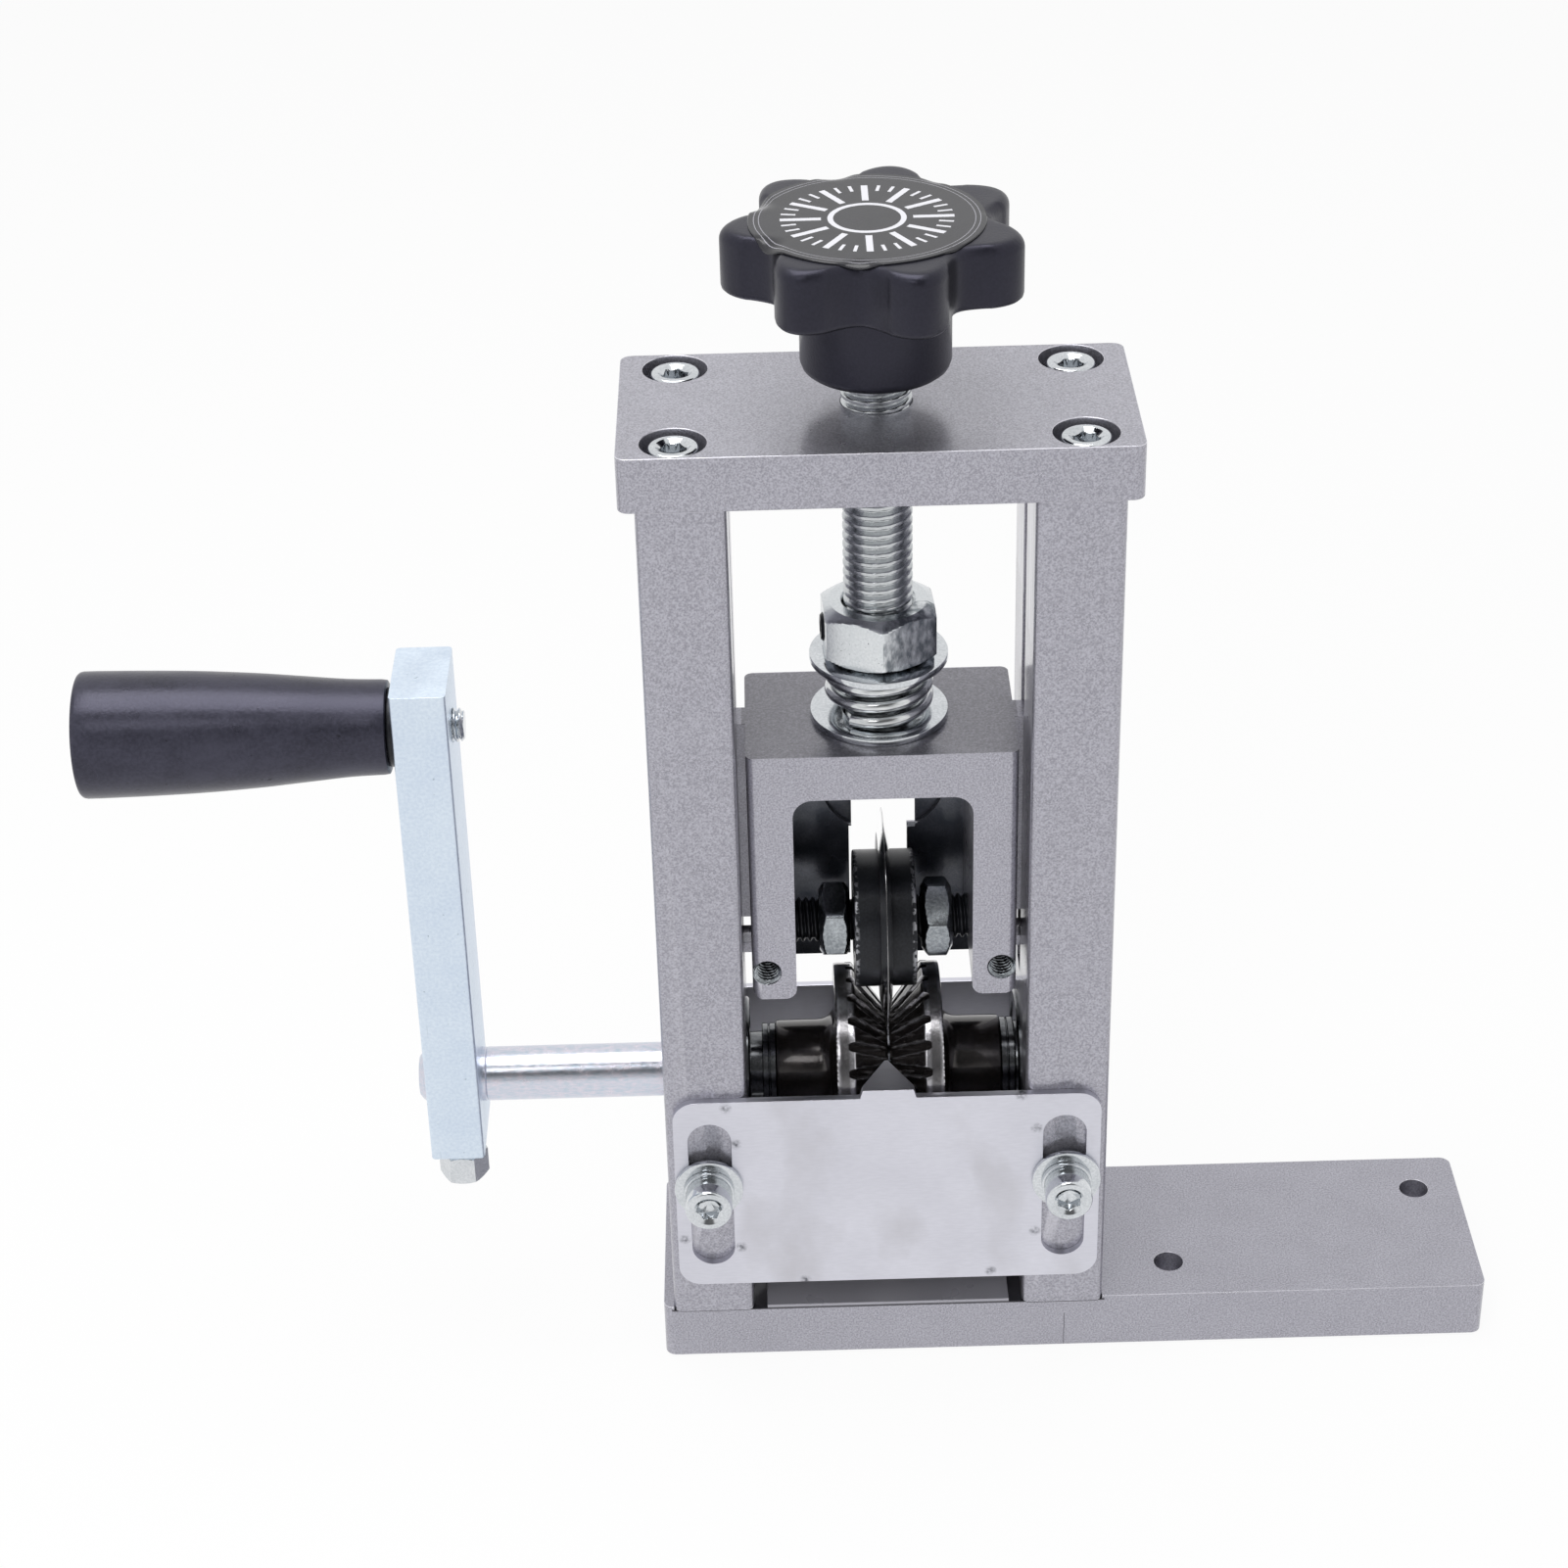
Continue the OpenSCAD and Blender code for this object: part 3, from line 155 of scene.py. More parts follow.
def product(tree, *masks):
    """All masks multiplied: 1 only where each of them is 1."""
    result = masks[0]
    for mask in masks[1:]:
        result = add(tree, "ShaderNodeMath", {0: result, 1: mask}, operation="MULTIPLY").outputs[0]
    return result


def zone(tree, **spans):
    """1 inside a block of space, given by a low and a high bound in mm for some of the axes x, y and z."""
    place = add(tree, "ShaderNodeTexCoord").outputs["Object"]
    parts = add(tree, "ShaderNodeSeparateXYZ", {0: place}).outputs
    return product(tree, *[band(tree, parts["xyz".index(letter)], (low + high) / 2 * MM, (high - low) / 2 * MM)
                           for letter, (low, high) in spans.items()])


def patch(tree, mask, **values):
    """Where the mask is 1, sockets of the shader take new values, over whatever fed them before."""
    for key, value in values.items():
        socket = tree.nodes["Principled BSDF"].inputs[key.replace("_", " ").title()]
        colour = isinstance(value, str)
        under = socket.links[0].from_socket if socket.links else socket.default_value
        a, b, out = (6, 7, 2) if colour else (2, 3, 0)
        mixed = add(tree, "ShaderNodeMix", {0: mask, a: under, b: linear(value) if colour else value},
                    data_type="RGBA" if colour else "FLOAT")
        tree.links.new(mixed.outputs[out], socket)


print("linear mid grey:", round(linear("#808080")[0], 3))

# %% [markdown]
# Every finish on this tool has the same bones: two close tones that its grain wanders between, a second,
# larger cloudiness, a metallic share, a roughness that varies a little, and a fine relief. So one function
# builds those bones from real sizes, and the materials below differ in their numbers and in what they add:
# flakes, smudges, turned rings or a printed scale.

# %% The bones of a finish
GLOSS_SPREAD = 0.15
materials = {}


def finish(coat, name, tones, size, metallic, roughness, relief, stretch=(1, 1, 1), cloud=9.0, cloudy=0.5,
           **sockets):
    """A material from two sRGB tones, a grain size in mm, and the height of its relief in mm. cloudy is how much
    of the change of tone is large. It is filed under coat, and its node tree is handed back."""
    material = materials[coat] = bpy.data.materials.new(name)
    material.use_nodes = True
    tree = material.node_tree
    shader = tree.nodes["Principled BSDF"]
    fine = grain(tree, size, stretch)
    large = grain(tree, cloud, low=0.3, high=0.7)
    share = add(tree, "ShaderNodeMix", {0: cloudy, 2: fine, 3: large}, data_type="FLOAT").outputs[0]
    tone = add(tree, "ShaderNodeMix", {0: share, 6: linear(tones[0]), 7: linear(tones[1])}, data_type="RGBA")
    tree.links.new(tone.outputs[2], shader.inputs["Base Color"])
    gloss = {"Value": large, "To Min": roughness * (1 - GLOSS_SPREAD), "To Max": roughness * (1 + GLOSS_SPREAD)}
    tree.links.new(add(tree, "ShaderNodeMapRange", gloss).outputs["Result"], shader.inputs["Roughness"])
    bump = add(tree, "ShaderNodeBump", {"Height": fine, "Strength": 1.0, "Distance": relief * MM})
    tree.links.new(bump.outputs["Normal"], shader.inputs["Normal"])
    shader.inputs["Metallic"].default_value = metallic
    for key, value in sockets.items():
        shader.inputs[key.replace("_", " ").title().replace("Ior", "IOR")].default_value = value
    return tree


print("finishes vary in gloss by", GLOSS_SPREAD)

# %% [markdown]
# The castings carry a silver-grey powder coat: a polyester film with fine aluminium flake, baked on. The eye
# sees a dense grain of lighter and darker specks under a satin gloss with a little orange peel, in which the
# black knob is dimly mirrored. The flakes are 0.05 mm in reality; a third of a millimetre is the finest grain
# that a picture this size can show, so they are drawn at that size. Upward edges get a painted highlight:
# the mask is n * (1 - n) * 3.6, where n is how far the surface faces up. It is 0 on walls and on flats, and
# highest halfway round an edge. The rear wall of the carriage and the base between the columns lie in shade,
# which is painted on them as darker mottled patches, and the top of the bridge under the spring, shaded by
# the top plate, gets painted shade in a fine grain. A dark line lies where the columns stand in their milled
# seats, a hairline runs down the front of the base, and the inner faces of the columns are streaked bright
# where the carriage slides.

# %% Powder coat
REAR_WALL = {"x": (-22, 22), "y": (12.5, 14.5), "z": (60, 116)}
BASE_FLOOR = {"x": (-24.8, 24.8), "y": (-20.2, 19.1), "z": (10.9, 11.8)}
BRIDGE_TOP = {"x": (-24, 24), "y": (-14.8, 14.8), "z": (127.6, 128.4)}
SEAT_STEP = {"x": (-40.5, 40.5), "z": (10.5, 10.95)}
FOOT_MARK = {"x": (32.92, 33.1), "y": (-20, -19.2), "z": (-1, 7.6)}
SLIDE_AT, SLIDE_HALF = 25, 0.3
EDGE_HIGHLIGHT_GAIN = 3.6
PEEL_MM, PEEL_DEPTH = 1.3, 0.020

tree = finish("grey_paint", "powder_coat", ("#8f8e97", "#b5b4be"), 0.32, 0.75, 0.30, 0.003, cloud=7.0,
              cloudy=0.12, coat_weight=0.5, coat_roughness=0.12)
facing = add(tree, "ShaderNodeTexCoord").outputs["Normal"]
up = add(tree, "ShaderNodeSeparateXYZ", {0: facing}).outputs[2]
lean_back = add(tree, "ShaderNodeMath", {0: 1.0, 1: up}, operation="SUBTRACT").outputs[0]
# Painted highlight: upward edges are painted pale, most where they face halfway up.
edge = {0: product(tree, up, lean_back), 1: EDGE_HIGHLIGHT_GAIN}
edge = add(tree, "ShaderNodeMath", edge, operation="MULTIPLY", use_clamp=True)
patch(tree, edge.outputs[0], base_color="#e6e5ec")
# Painted shade: the rear wall of the carriage and the base between the columns, which lie in shade, are painted
# darker in mottled patches.
shade_grain = grain(tree, 6.0, low=0.25, high=0.75, detail=3.0)
shade_mottle = add(tree, "ShaderNodeMapRange", {"Value": shade_grain, "To Min": 0.80, "To Max": 1.0}).outputs["Result"]
patch(tree, product(tree, zone(tree, **REAR_WALL), shade_mottle), base_color="#2e343e")
patch(tree, product(tree, zone(tree, **BASE_FLOOR), shade_mottle), base_color="#9a99a1", metallic=0.2)
# Painted shade: the top of the bridge, which the top plate shades, is painted darker in a fine grain.
bridge_shade_span = {"Value": grain(tree, 0.4), "To Min": 0.6, "To Max": 1.0}
bridge_shade = add(tree, "ShaderNodeMapRange", bridge_shade_span).outputs["Result"]
patch(tree, product(tree, zone(tree, **BRIDGE_TOP), bridge_shade), base_color="#6f6e75")
patch(tree, zone(tree, **SEAT_STEP), base_color="#4b4a50")
patch(tree, zone(tree, **FOOT_MARK), base_color="#6f6e75")
streaks = grain(tree, 1.1, (1, 1, 60), low=0.35, high=0.65)
for side in (-1, 1):
    face = side * SLIDE_AT
    inner = zone(tree, x=(face - SLIDE_HALF, face + SLIDE_HALF), y=(-18.6, 18.6), z=(149, 176.6))
    patch(tree, product(tree, inner, streaks), base_color="#cfced6", metallic=1.0, roughness=0.32)
peel = grain(tree, PEEL_MM, low=0.0, high=1.0)
over_peel = add(tree, "ShaderNodeBump", {"Height": peel, "Distance": PEEL_DEPTH * MM})
tree.links.new(over_peel.outputs["Normal"], tree.nodes["Principled BSDF"].inputs["Coat Normal"])
print("powder coat with", len(tree.nodes), "nodes")

# %% [markdown]
# Most finishes here are zinc. The crank arm is cold-drawn steel with blue-white zinc, nearly matt on its
# flats, with fine pits and hairlines; the shaft has the same coat, but turned smooth, so that it mirrors the
# room in bands. The guide plates are galvanised sheet with a faint rolling grain, and a few dark burr marks
# where the slots were punched. Screws, nuts and washers are bright zinc, and the lifting screw is a little
# greyer, because its threads hold a film of oil. A burr mark is a small disc around a point of the plate,
# with an edge that the grain frays. The front right facet of the stop nut mirrors the shaded right column,
# and that dark reflection is painted on it as greyer patches: a painted reflection.

# %% Zinc finishes
NUT_FACET = {"x": (0.4, 12), "y": (-12, -1.5), "z": (130, 155.5)}
BURR_EDGE, BURR_CORE = 1.3, 0.3

tree = finish("zinc_plate", "blue_zinc", ("#cddaea", "#e2edf8"), 0.6, 1.0, 0.36, 0.003, cloud=9.0)
patch(tree, grain(tree, 1.1, low=0.70, high=0.76, detail=3.0), base_color="#a9b7c2", roughness=0.5)
patch(tree, grain(tree, 0.5, (1, 1, 30), low=0.70, high=0.80), base_color="#b5c2cd")
finish("drawn_bar", "smooth_blue_zinc", ("#c3cfdc", "#e0dae4"), 0.45, 1.0, 0.24, 0.005,
       stretch=(3, 1, 1), cloud=1.6)
tree = finish("plated_sheet", "galvanised_sheet", ("#cdcdd6", "#dcdce5"), 0.4, 1.0, 0.36, 0.0015,
              stretch=(5, 1, 1), cloud=16.0, cloudy=0.7)
stains = grain(tree, 12.0, (1, 1, 1.6), low=0.52, high=0.85, detail=4.0)
patch(tree, stains, base_color="#c3c2c8", roughness=0.40)
BURRS = [(-27.4, 50.9), (27.0, 52.7), (-27.0, 27.2), (27.0, 29.1), (-37.3, 29.4), (-15.4, 19.0), (18.9, 20.0),
         (24.2, 60.0), (-29.0, 59.0)]
place = add(tree, "ShaderNodeTexCoord").outputs["Object"]
flat = add(tree, "ShaderNodeVectorMath", {0: place, 1: (1.0, 0.0, 1.0)}, operation="MULTIPLY").outputs[0]
fray = grain(tree, 0.7, low=0.3, high=0.7, detail=3.0)
for x, z in BURRS:
    away = add(tree, "ShaderNodeVectorMath", {0: flat, 1: (x * MM, 0.0, z * MM)}, operation="DISTANCE")
    spot = {"Value": away.outputs["Value"], "From Min": BURR_EDGE * MM, "From Max": BURR_CORE * MM}
    burr = add(tree, "ShaderNodeMapRange", spot).outputs["Result"]
    patch(tree, product(tree, burr, fray), base_color="#5c5e65")
finish("bright_fastener", "bright_zinc", ("#c0c4c8", "#dcdfe2"), 0.45, 1.0, 0.11, 0.0015, cloud=5.0)
tree = finish("pitted_zinc", "pitted_zinc", ("#cdd1d4", "#dfe2e4"), 0.4, 1.0, 0.22, 0.003, cloud=4.0)
patch(tree, grain(tree, 0.45, low=0.68, high=0.74, detail=3.0), base_color="#7d8386", roughness=0.45)
# Painted reflection: the front right facet of the stop nut, which mirrors the shaded right column, is painted
# greyer in patches.
facet_reflection_patches = grain(tree, 1.4, (1, 1, 2), low=0.36, high=0.60, detail=3.0)
patch(tree, product(tree, zone(tree, **NUT_FACET), facet_reflection_patches), base_color="#81878c")
finish("screw_thread", "oiled_zinc_thread", ("#bdc0c2", "#cfd2d4"), 0.5, 1.0, 0.22, 0.001, cloud=6.0)
finish("spring_wire", "drawn_spring_wire", ("#b9bcbe", "#dfe1e2"), 0.25, 1.0, 0.14, 0.001,
       stretch=(6, 6, 1), cloud=4.0)
print("zinc finishes made:", len(materials) - 1)

# %% [markdown]
# The steels that cut and roll are dark. The blade is high-speed steel, ground round and round, dark on its
# flats and bright on its bevels; the feed wheels are hardened and brown-black under a coat of oil, with rims
# rubbed bright and painted highlights along the rims' edges and the rib edges; the flanges and set screws have
# a black oxide skin, chipped along the flanges' rims; the axle nuts are dull zinc over dark steel; and the
# bearing rings are dark with oil. Where a blade, wheel or flange is worn, and where a wheel has a painted
# highlight, is a number from 0 to 1 that its mesh carries at each corner, because both follow the shape, and the
# shader only reads it.

# %% Dark steels
WEAR_AND_HIGHLIGHT = "wear"
tree = finish("ground_steel", "ground_blade_steel", ("#47474b", "#6b6b70"), 0.3, 0.9, 0.32, 0.002, cloud=3.0)
wear_and_highlight_mask = add(tree, "ShaderNodeAttribute", attribute_name=WEAR_AND_HIGHLIGHT).outputs["Fac"]
patch(tree, wear_and_highlight_mask, base_color="#ffffff", metallic=1.0, roughness=0.08)
tree = finish("tool_steel", "hardened_wheel_steel", ("#272525", "#3e3938"), 0.6, 0.8, 0.20, 0.008, cloud=4.0,
              coat_weight=0.6, coat_roughness=0.10)
wear_and_highlight_mask = add(tree, "ShaderNodeAttribute", attribute_name=WEAR_AND_HIGHLIGHT).outputs["Fac"]
uneven = grain(tree, 1.2, low=0.1, high=0.5, detail=3.0)
patch(tree, product(tree, wear_and_highlight_mask, uneven), base_color="#d2d1d6", metallic=1.0, roughness=0.22)
tree = finish("black_oxide", "black_oxide", ("#131418", "#24262b"), 0.4, 0.5, 0.33, 0.004, cloud=5.0)
wear_and_highlight_mask = add(tree, "ShaderNodeAttribute", attribute_name=WEAR_AND_HIGHLIGHT).outputs["Fac"]
chipped = grain(tree, 0.9, low=0.50, high=0.56, detail=3.0)
patch(tree, product(tree, wear_and_highlight_mask, chipped), base_color="#9a9ba0", metallic=1.0)
finish("dull_nut", "dull_zinc", ("#767b80", "#b4b9bd"), 0.5, 1.0, 0.20, 0.003, cloud=4.0)
finish("bearing_steel", "bearing_steel", ("#56585b", "#828487"), 0.4, 1.0, 0.18, 0.002, cloud=5.0)
print("dark steels made")

# %% [markdown]
# The knob is moulded glass-filled nylon with a fine spark-eroded texture. The grip is softer moulded
# polyethylene, with small scuffs and paler, duller patches where the hand rubs it. The disc on the knob is a
# glossy dark film. Both mouldings look faintly blue where they mirror the room, so their reflections are
# tinted.

# %% Plastics
BLUISH = "#e4e2ff"
HAND_PART = {"x": (-125, -85)}
finish("black_plastic", "moulded_nylon", ("#0f0f14", "#1a1a21"), 0.5, 0.0, 0.34, 0.008, cloud=9.0, ior=1.47,
       specular_tint=linear(BLUISH))
tree = finish("grip_plastic", "moulded_polyethylene", ("#1b1b22", "#30303a"), 0.6, 0.0, 0.30, 0.010, cloud=7.0,
              ior=1.51, specular_tint=linear(BLUISH))
scuffs = grain(tree, 1.3, (1.6, 1, 1), low=0.70, high=0.76, detail=3.0)
patch(tree, scuffs, base_color="#08080b", roughness=0.55)
rubbed = grain(tree, 9.0, (2, 1, 1), low=0.50, high=0.70, detail=3.0)
patch(tree, product(tree, rubbed, zone(tree, **HAND_PART)), base_color="#35353f", roughness=0.40)
tree = finish("label_film", "printed_film", ("#15151a", "#1f1f25"), 2.0, 0.0, 0.24, 0.003, cloud=12.0, ior=1.42,
              coat_weight=0.15, coat_roughness=0.05)
print("finishes in all:", len(materials))

# %% [markdown]
# The disc has a plain printed scale, so that a turn of the knob can be read: a bold ring in the middle, a
# crown of 36 ticks of which every third is long, and two thin rings near the edge in a paler ink. The print
# is worked out from each point's distance and angle around the disc's middle, which stays right when the knob
# turns, because Object coordinates turn with it. A Mapping node moves the pattern to where the disc was
# stuck, a little to the left of the knob's axis.

# %% Printed scale
INK, PALE_INK = "#dcdce2", "#8f8e96"
BOLD_RING, BOLD_HALF = 5.9, 0.45
THIN_RINGS, THIN_HALF = (18.2, 17.4), 0.07
label_low, label_high = box_mm("knob_label")
label_x = (label_low[0] + label_high[0]) / 2
place = add(tree, "ShaderNodeTexCoord").outputs["Object"]
place = add(tree, "ShaderNodeMapping", {"Vector": place, "Location": (-label_x * MM, 0, 0)}).outputs["Vector"]
parts = add(tree, "ShaderNodeSeparateXYZ", {0: place}).outputs
flat = add(tree, "ShaderNodeCombineXYZ", {0: parts[0], 1: parts[1]}).outputs[0]
radius = add(tree, "ShaderNodeVectorMath", {0: flat}, operation="LENGTH").outputs["Value"]
angle = add(tree, "ShaderNodeMath", {0: parts[1], 1: parts[0]}, operation="ARCTAN2").outputs[0]


def ticks(count, half_width, inner, outer):
    """Radial lines: the angle is folded into one pitch, and its distance from the middle times the radius is
    compared with half the width of a line, between an inner and an outer radius in mm."""
    pitch = 2 * math.pi / count
    folded = add(tree, "ShaderNodeMath", {0: angle, 1: pitch / 2}, operation="PINGPONG").outputs[0]
    away = add(tree, "ShaderNodeMath", {0: folded, 1: radius}, operation="MULTIPLY").outputs[0]
    line = add(tree, "ShaderNodeMath", {0: away, 1: half_width * MM}, operation="LESS_THAN").outputs[0]
    return product(tree, line, band(tree, radius, (inner + outer) / 2 * MM, (outer - inner) / 2 * MM))


print_marks = [
    ticks(36, 0.28, 11.6, 14.0),
    ticks(12, 0.55, 7.4, 14.0),
    band(tree, radius, BOLD_RING * MM, BOLD_HALF * MM),
]
rings = [band(tree, radius, r * MM, THIN_HALF * MM) for r in THIN_RINGS]
ink = print_marks[0]
for mark in print_marks[1:]:
    ink = add(tree, "ShaderNodeMath", {0: ink, 1: mark}, operation="MAXIMUM").outputs[0]
patch(tree, ink, base_color=INK)
for ring in rings:
    patch(tree, ring, base_color=PALE_INK)
print("scale printed with", len(print_marks) + len(rings), "kinds of mark")

# %% [markdown]
# Shapes next. Most pieces of a machine tool are turned, so they are surfaces of two parameters: the angle
# around an axis, and the place along a profile. A grid of points holds such a surface, and its cells are the
# faces. Merging the points that fall together closes the seams and poles, and Blender then turns all faces
# outwards. Wear, and on the feed wheels painted highlights too, is written on such a mesh as one number for each
# point, worked out from where the point lies.

# %% A surface from a grid of points
def link_mesh(name, mesh):
    """Wraps a mesh in an object of the same name, and puts it in the scene."""
    made = bpy.data.objects.new(name, mesh)
    bpy.context.scene.collection.objects.link(made)
    return made


def surface(name, grids, closed=False):
    """One object from grids of points in mm, each an array of rows, columns and 3. Columns always join up; rows do
    if closed. A face has the corners (i, j), (i, j + 1), (i + 1, j + 1) and (i + 1, j)."""
    corners, faces, start = [], [], 0
    for points in grids:
        rows, columns = points.shape[:2]
        i = np.arange(rows if closed else rows - 1)[:, None]
        j = np.arange(columns)[None, :]
        this_row, next_row = i * columns, (i + 1) % rows * columns
        next_j = (j + 1) % columns
        quads = np.stack([this_row + j, this_row + next_j, next_row + next_j, next_row + j], axis=-1)
        faces.append(quads.reshape(-1, 4) + start)
        corners.append(points.reshape(-1, 3))
        start += rows * columns
    mesh = bpy.data.meshes.new(name)
    mesh.from_pydata((np.concatenate(corners) * MM).tolist(), [], np.concatenate(faces).tolist())
    work = bmesh.new()
    work.from_mesh(mesh)
    bmesh.ops.remove_doubles(work, verts=work.verts, dist=0.0005 * MM)
    bmesh.ops.dissolve_degenerate(work, edges=work.edges, dist=0.0002 * MM)
    bmesh.ops.recalc_face_normals(work, faces=work.faces)
    work.to_mesh(mesh)
    work.free()
    return link_mesh(name, mesh)


def wear(piece, rule):
    """Stores rule(x, y, z) in mm, a number from 0 to 1 for each point of the mesh, for the shaders to read."""
    mesh = piece.data
    points = np.empty(len(mesh.vertices) * 3)
    mesh.vertices.foreach_get("co", points)
    values = rule(*(points.reshape(-1, 3).T / MM))
    mesh.attributes.new(WEAR_AND_HIGHLIGHT, "FLOAT", "POINT").data.foreach_set("value", values.astype(np.float32))
    return piece


def dress(piece, body, slot, *replaced, sharp=32, coat=None):
    """Smooth shading with edges over sharp degrees left crisp, the slot's material or one variant of it, and the
    ride on a CAD body."""
    mesh = piece.data
    mesh.shade_smooth()
    mesh.set_sharp_from_angle(angle=math.radians(sharp))
    mesh.materials.clear()
    mesh.materials.append(materials[coat or slot])
    if replaced:
        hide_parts(*replaced)
    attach(piece, body)
    print(piece.name, "rides on", body, "with", len(mesh.polygons), "faces")
    return piece


# %% [markdown]
# A turned piece needs an axis in space and a table of rows. Each row has a height along the axis, a distance
# from it, and a third number that says how six-sided the row is: 0 is round, and 1 is a hexagon whose flats
# lie at that distance. A fourth number is a radius that the row never falls below, which is how a drill opens
# the mouth of a hexagonal socket. With these one table describes a cap screw from its tip to the floor of its
# key socket.

# %% Turned and six-sided shapes
SIDES = 72
SPIN = {"x": ((1, 0, 0), (0, 1, 0)), "z": ((0, 0, 1), (1, 0, 0)), "y": ((0, 1, 0), (0, 0, 1))}


def angles(sides=SIDES):
    """Evenly spaced angles around an axis, in radians."""
    return np.arange(sides) * 2 * math.pi / sides


def hexagon(turned=0.0, sides=SIDES):
    """Distance to the sides of a hexagon over its distance to the flats: 1 / cos of the angle to the next flat."""
    fold = (angles(sides) - math.radians(turned) + math.pi / 6) % (math.pi / 3) - math.pi / 6
    return 1 / np.cos(fold)


def spun(at, axis, heights, radii):
    """Points at + height * axis + radius * (cos a * u + sin a * v), where u and v are square to the axis.
    The axis is a letter, or a pair of directions: the axis and the one that angle 0 points to."""
    along, u = (np.array(v, float) for v in (SPIN[axis] if isinstance(axis, str) else axis))
    v = np.cross(along, u)
    a = angles(radii.shape[1])
    ring = np.cos(a)[:, None] * u + np.sin(a)[:, None] * v
    return np.array(at, float) + heights[..., None] * along + radii[..., None] * ring


def turned(at, axis, rows, twist=0.0, sides=SIDES):
    """A grid from rows of height, distance, six-sidedness and least radius. A row's radius is its distance times a
    blend of 1 and the hexagon's ratio, or its least radius where that is more."""
    table = np.array([(*row, 0.0, 0.0)[:4] for row in rows])
    radii = np.maximum(table[:, 1:2] * (1 + table[:, 2:3] * (hexagon(twist, sides) - 1)), table[:, 3:4])
    heights = np.repeat(table[:, :1], sides, axis=1)
    return spun(at, axis, heights, radii)


def arc(height, distance, radius, start, end, steps=5):
    """Rows on an arc about (height, distance): height + radius * cos, distance + radius * sin, in degrees."""
    sweep = np.radians(np.linspace(start, end, steps))
    return [(height + radius * math.cos(t), distance + radius * math.sin(t)) for t in sweep]


def washer_rows(low, high, inner, outer, edge):
    """A flat ring whose four edges are rounded with a small radius, as rows that close on themselves."""
    return (
        arc(low + edge, inner + edge, edge, 270, 180, 3) + arc(low + edge, outer - edge, edge, 180, 90, 3)
        + arc(high - edge, outer - edge, edge, 90, 0, 3) + arc(high - edge, inner + edge, edge, 0, -90, 3)
    )


def turned_ring(name, at, axis, rows, *ride, sides=SIDES, **looks):
    """A ring or sleeve whose rows close on themselves, made and dressed in one go."""
    return dress(surface(name, [turned(at, axis, rows, sides=sides)], closed=True), *ride, **looks)


print("turning tools ready, with", SIDES, "sides a turn")

# %% [markdown]
# The castings and plates are not turned: they are blocks with bores, slots and grooves, and the CAD mesh
# already has every cut. What it lacks is the softness of a real edge, which is what catches the light. So
# each is copied, its loose triangles are merged and its flat faces joined, and a Bevel rounds its sharp
# edges.

# %% Edged copies of the milled pieces
def edged_copy(node, width, segments=3, limit=40):
    """A copy of a CAD piece whose edges sharper than limit degrees are rounded to width millimetres."""
    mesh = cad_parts[node].data.copy()
    work = bmesh.new()
    work.from_mesh(mesh)
    bmesh.ops.remove_doubles(work, verts=work.verts, dist=0.001 * MM)
    bmesh.ops.dissolve_limit(work, angle_limit=math.radians(0.5), verts=work.verts, edges=work.edges)
    work.to_mesh(mesh)
    work.free()
    piece = link_mesh(node + "_edged", mesh)
    bevel = piece.modifiers.new("edges", "BEVEL")
    bevel.width = width * MM
    bevel.segments = segments
    bevel.limit_method = "ANGLE"
    bevel.angle_limit = math.radians(limit)
    bevel.harden_normals = True
    bevel.use_clamp_overlap = True
    return piece


for node, body, slot, width in [
    ("base_plate", "frame", "grey_paint", 0.6),
    ("left_column", "frame", "grey_paint", 0.4),
    ("right_column", "frame", "grey_paint", 0.4),
    ("top_plate", "frame", "grey_paint", 0.6),
    ("blade_carriage", "carriage", "grey_paint", 0.35),
    ("crank_arm", "crank", "zinc_plate", 0.7),
    ("front_guide_plate", "front_plate", "plated_sheet", 0.25),
    ("rear_guide_plate", "rear_plate", "plated_sheet", 0.25),
    ("retaining_ring", "screw", "black_oxide", 0.15),
]:
    dress(edged_copy(node, width), body, slot, node)

# %% [markdown]
# A real thread is one ridge that winds round the rod, and on a screw this thick the slope of its turns shows.
# The radius falls from the crest by the depth of the thread times a wave with flat crests and roots. The
# wave's phase is the height over the pitch, less the angle over a full turn, which is what makes the ridge
# climb to the right.

# %% Threaded rods
ROOT_SHARE = 0.06


def thread_wave(heights, columns, pitch, crest, root):
    """0 on the crests and 1 in the roots, over heights in mm (rows) and angles (columns), eased at both ends.
    crest and root are the shares of half a pitch that stay flat."""
    phase = (heights / pitch - columns / (2 * math.pi)) % 1
    ramp = np.abs(2 * phase - 1)
    wave = np.clip((ramp - crest) / (1 - crest - root), 0, 1)
    return wave * wave * (3 - 2 * wave)


def threaded_rod(at, axis, length, diameter, pitch, depth, chamfer, sides=40, rows_per_turn=10, crest=0.14):
    """A rod from its place along its axis with a right-hand thread, chamfered at both ends and closed by poles."""
    rows = np.linspace(0, length, int(length / pitch * rows_per_turn))
    heights = np.repeat(rows[:, None], sides, axis=1)
    radii = diameter / 2 - depth * thread_wave(heights, angles(sides)[None, :], pitch, crest, ROOT_SHARE)
    from_end = np.minimum(heights, length - heights)
    radii = np.minimum(radii, diameter / 2 - chamfer + from_end)
    heights = np.vstack([heights[:1], heights, heights[-1:]])
    radii = np.vstack([np.zeros((1, sides)), radii, np.zeros((1, sides))])
    return spun(at, axis, heights, radii)


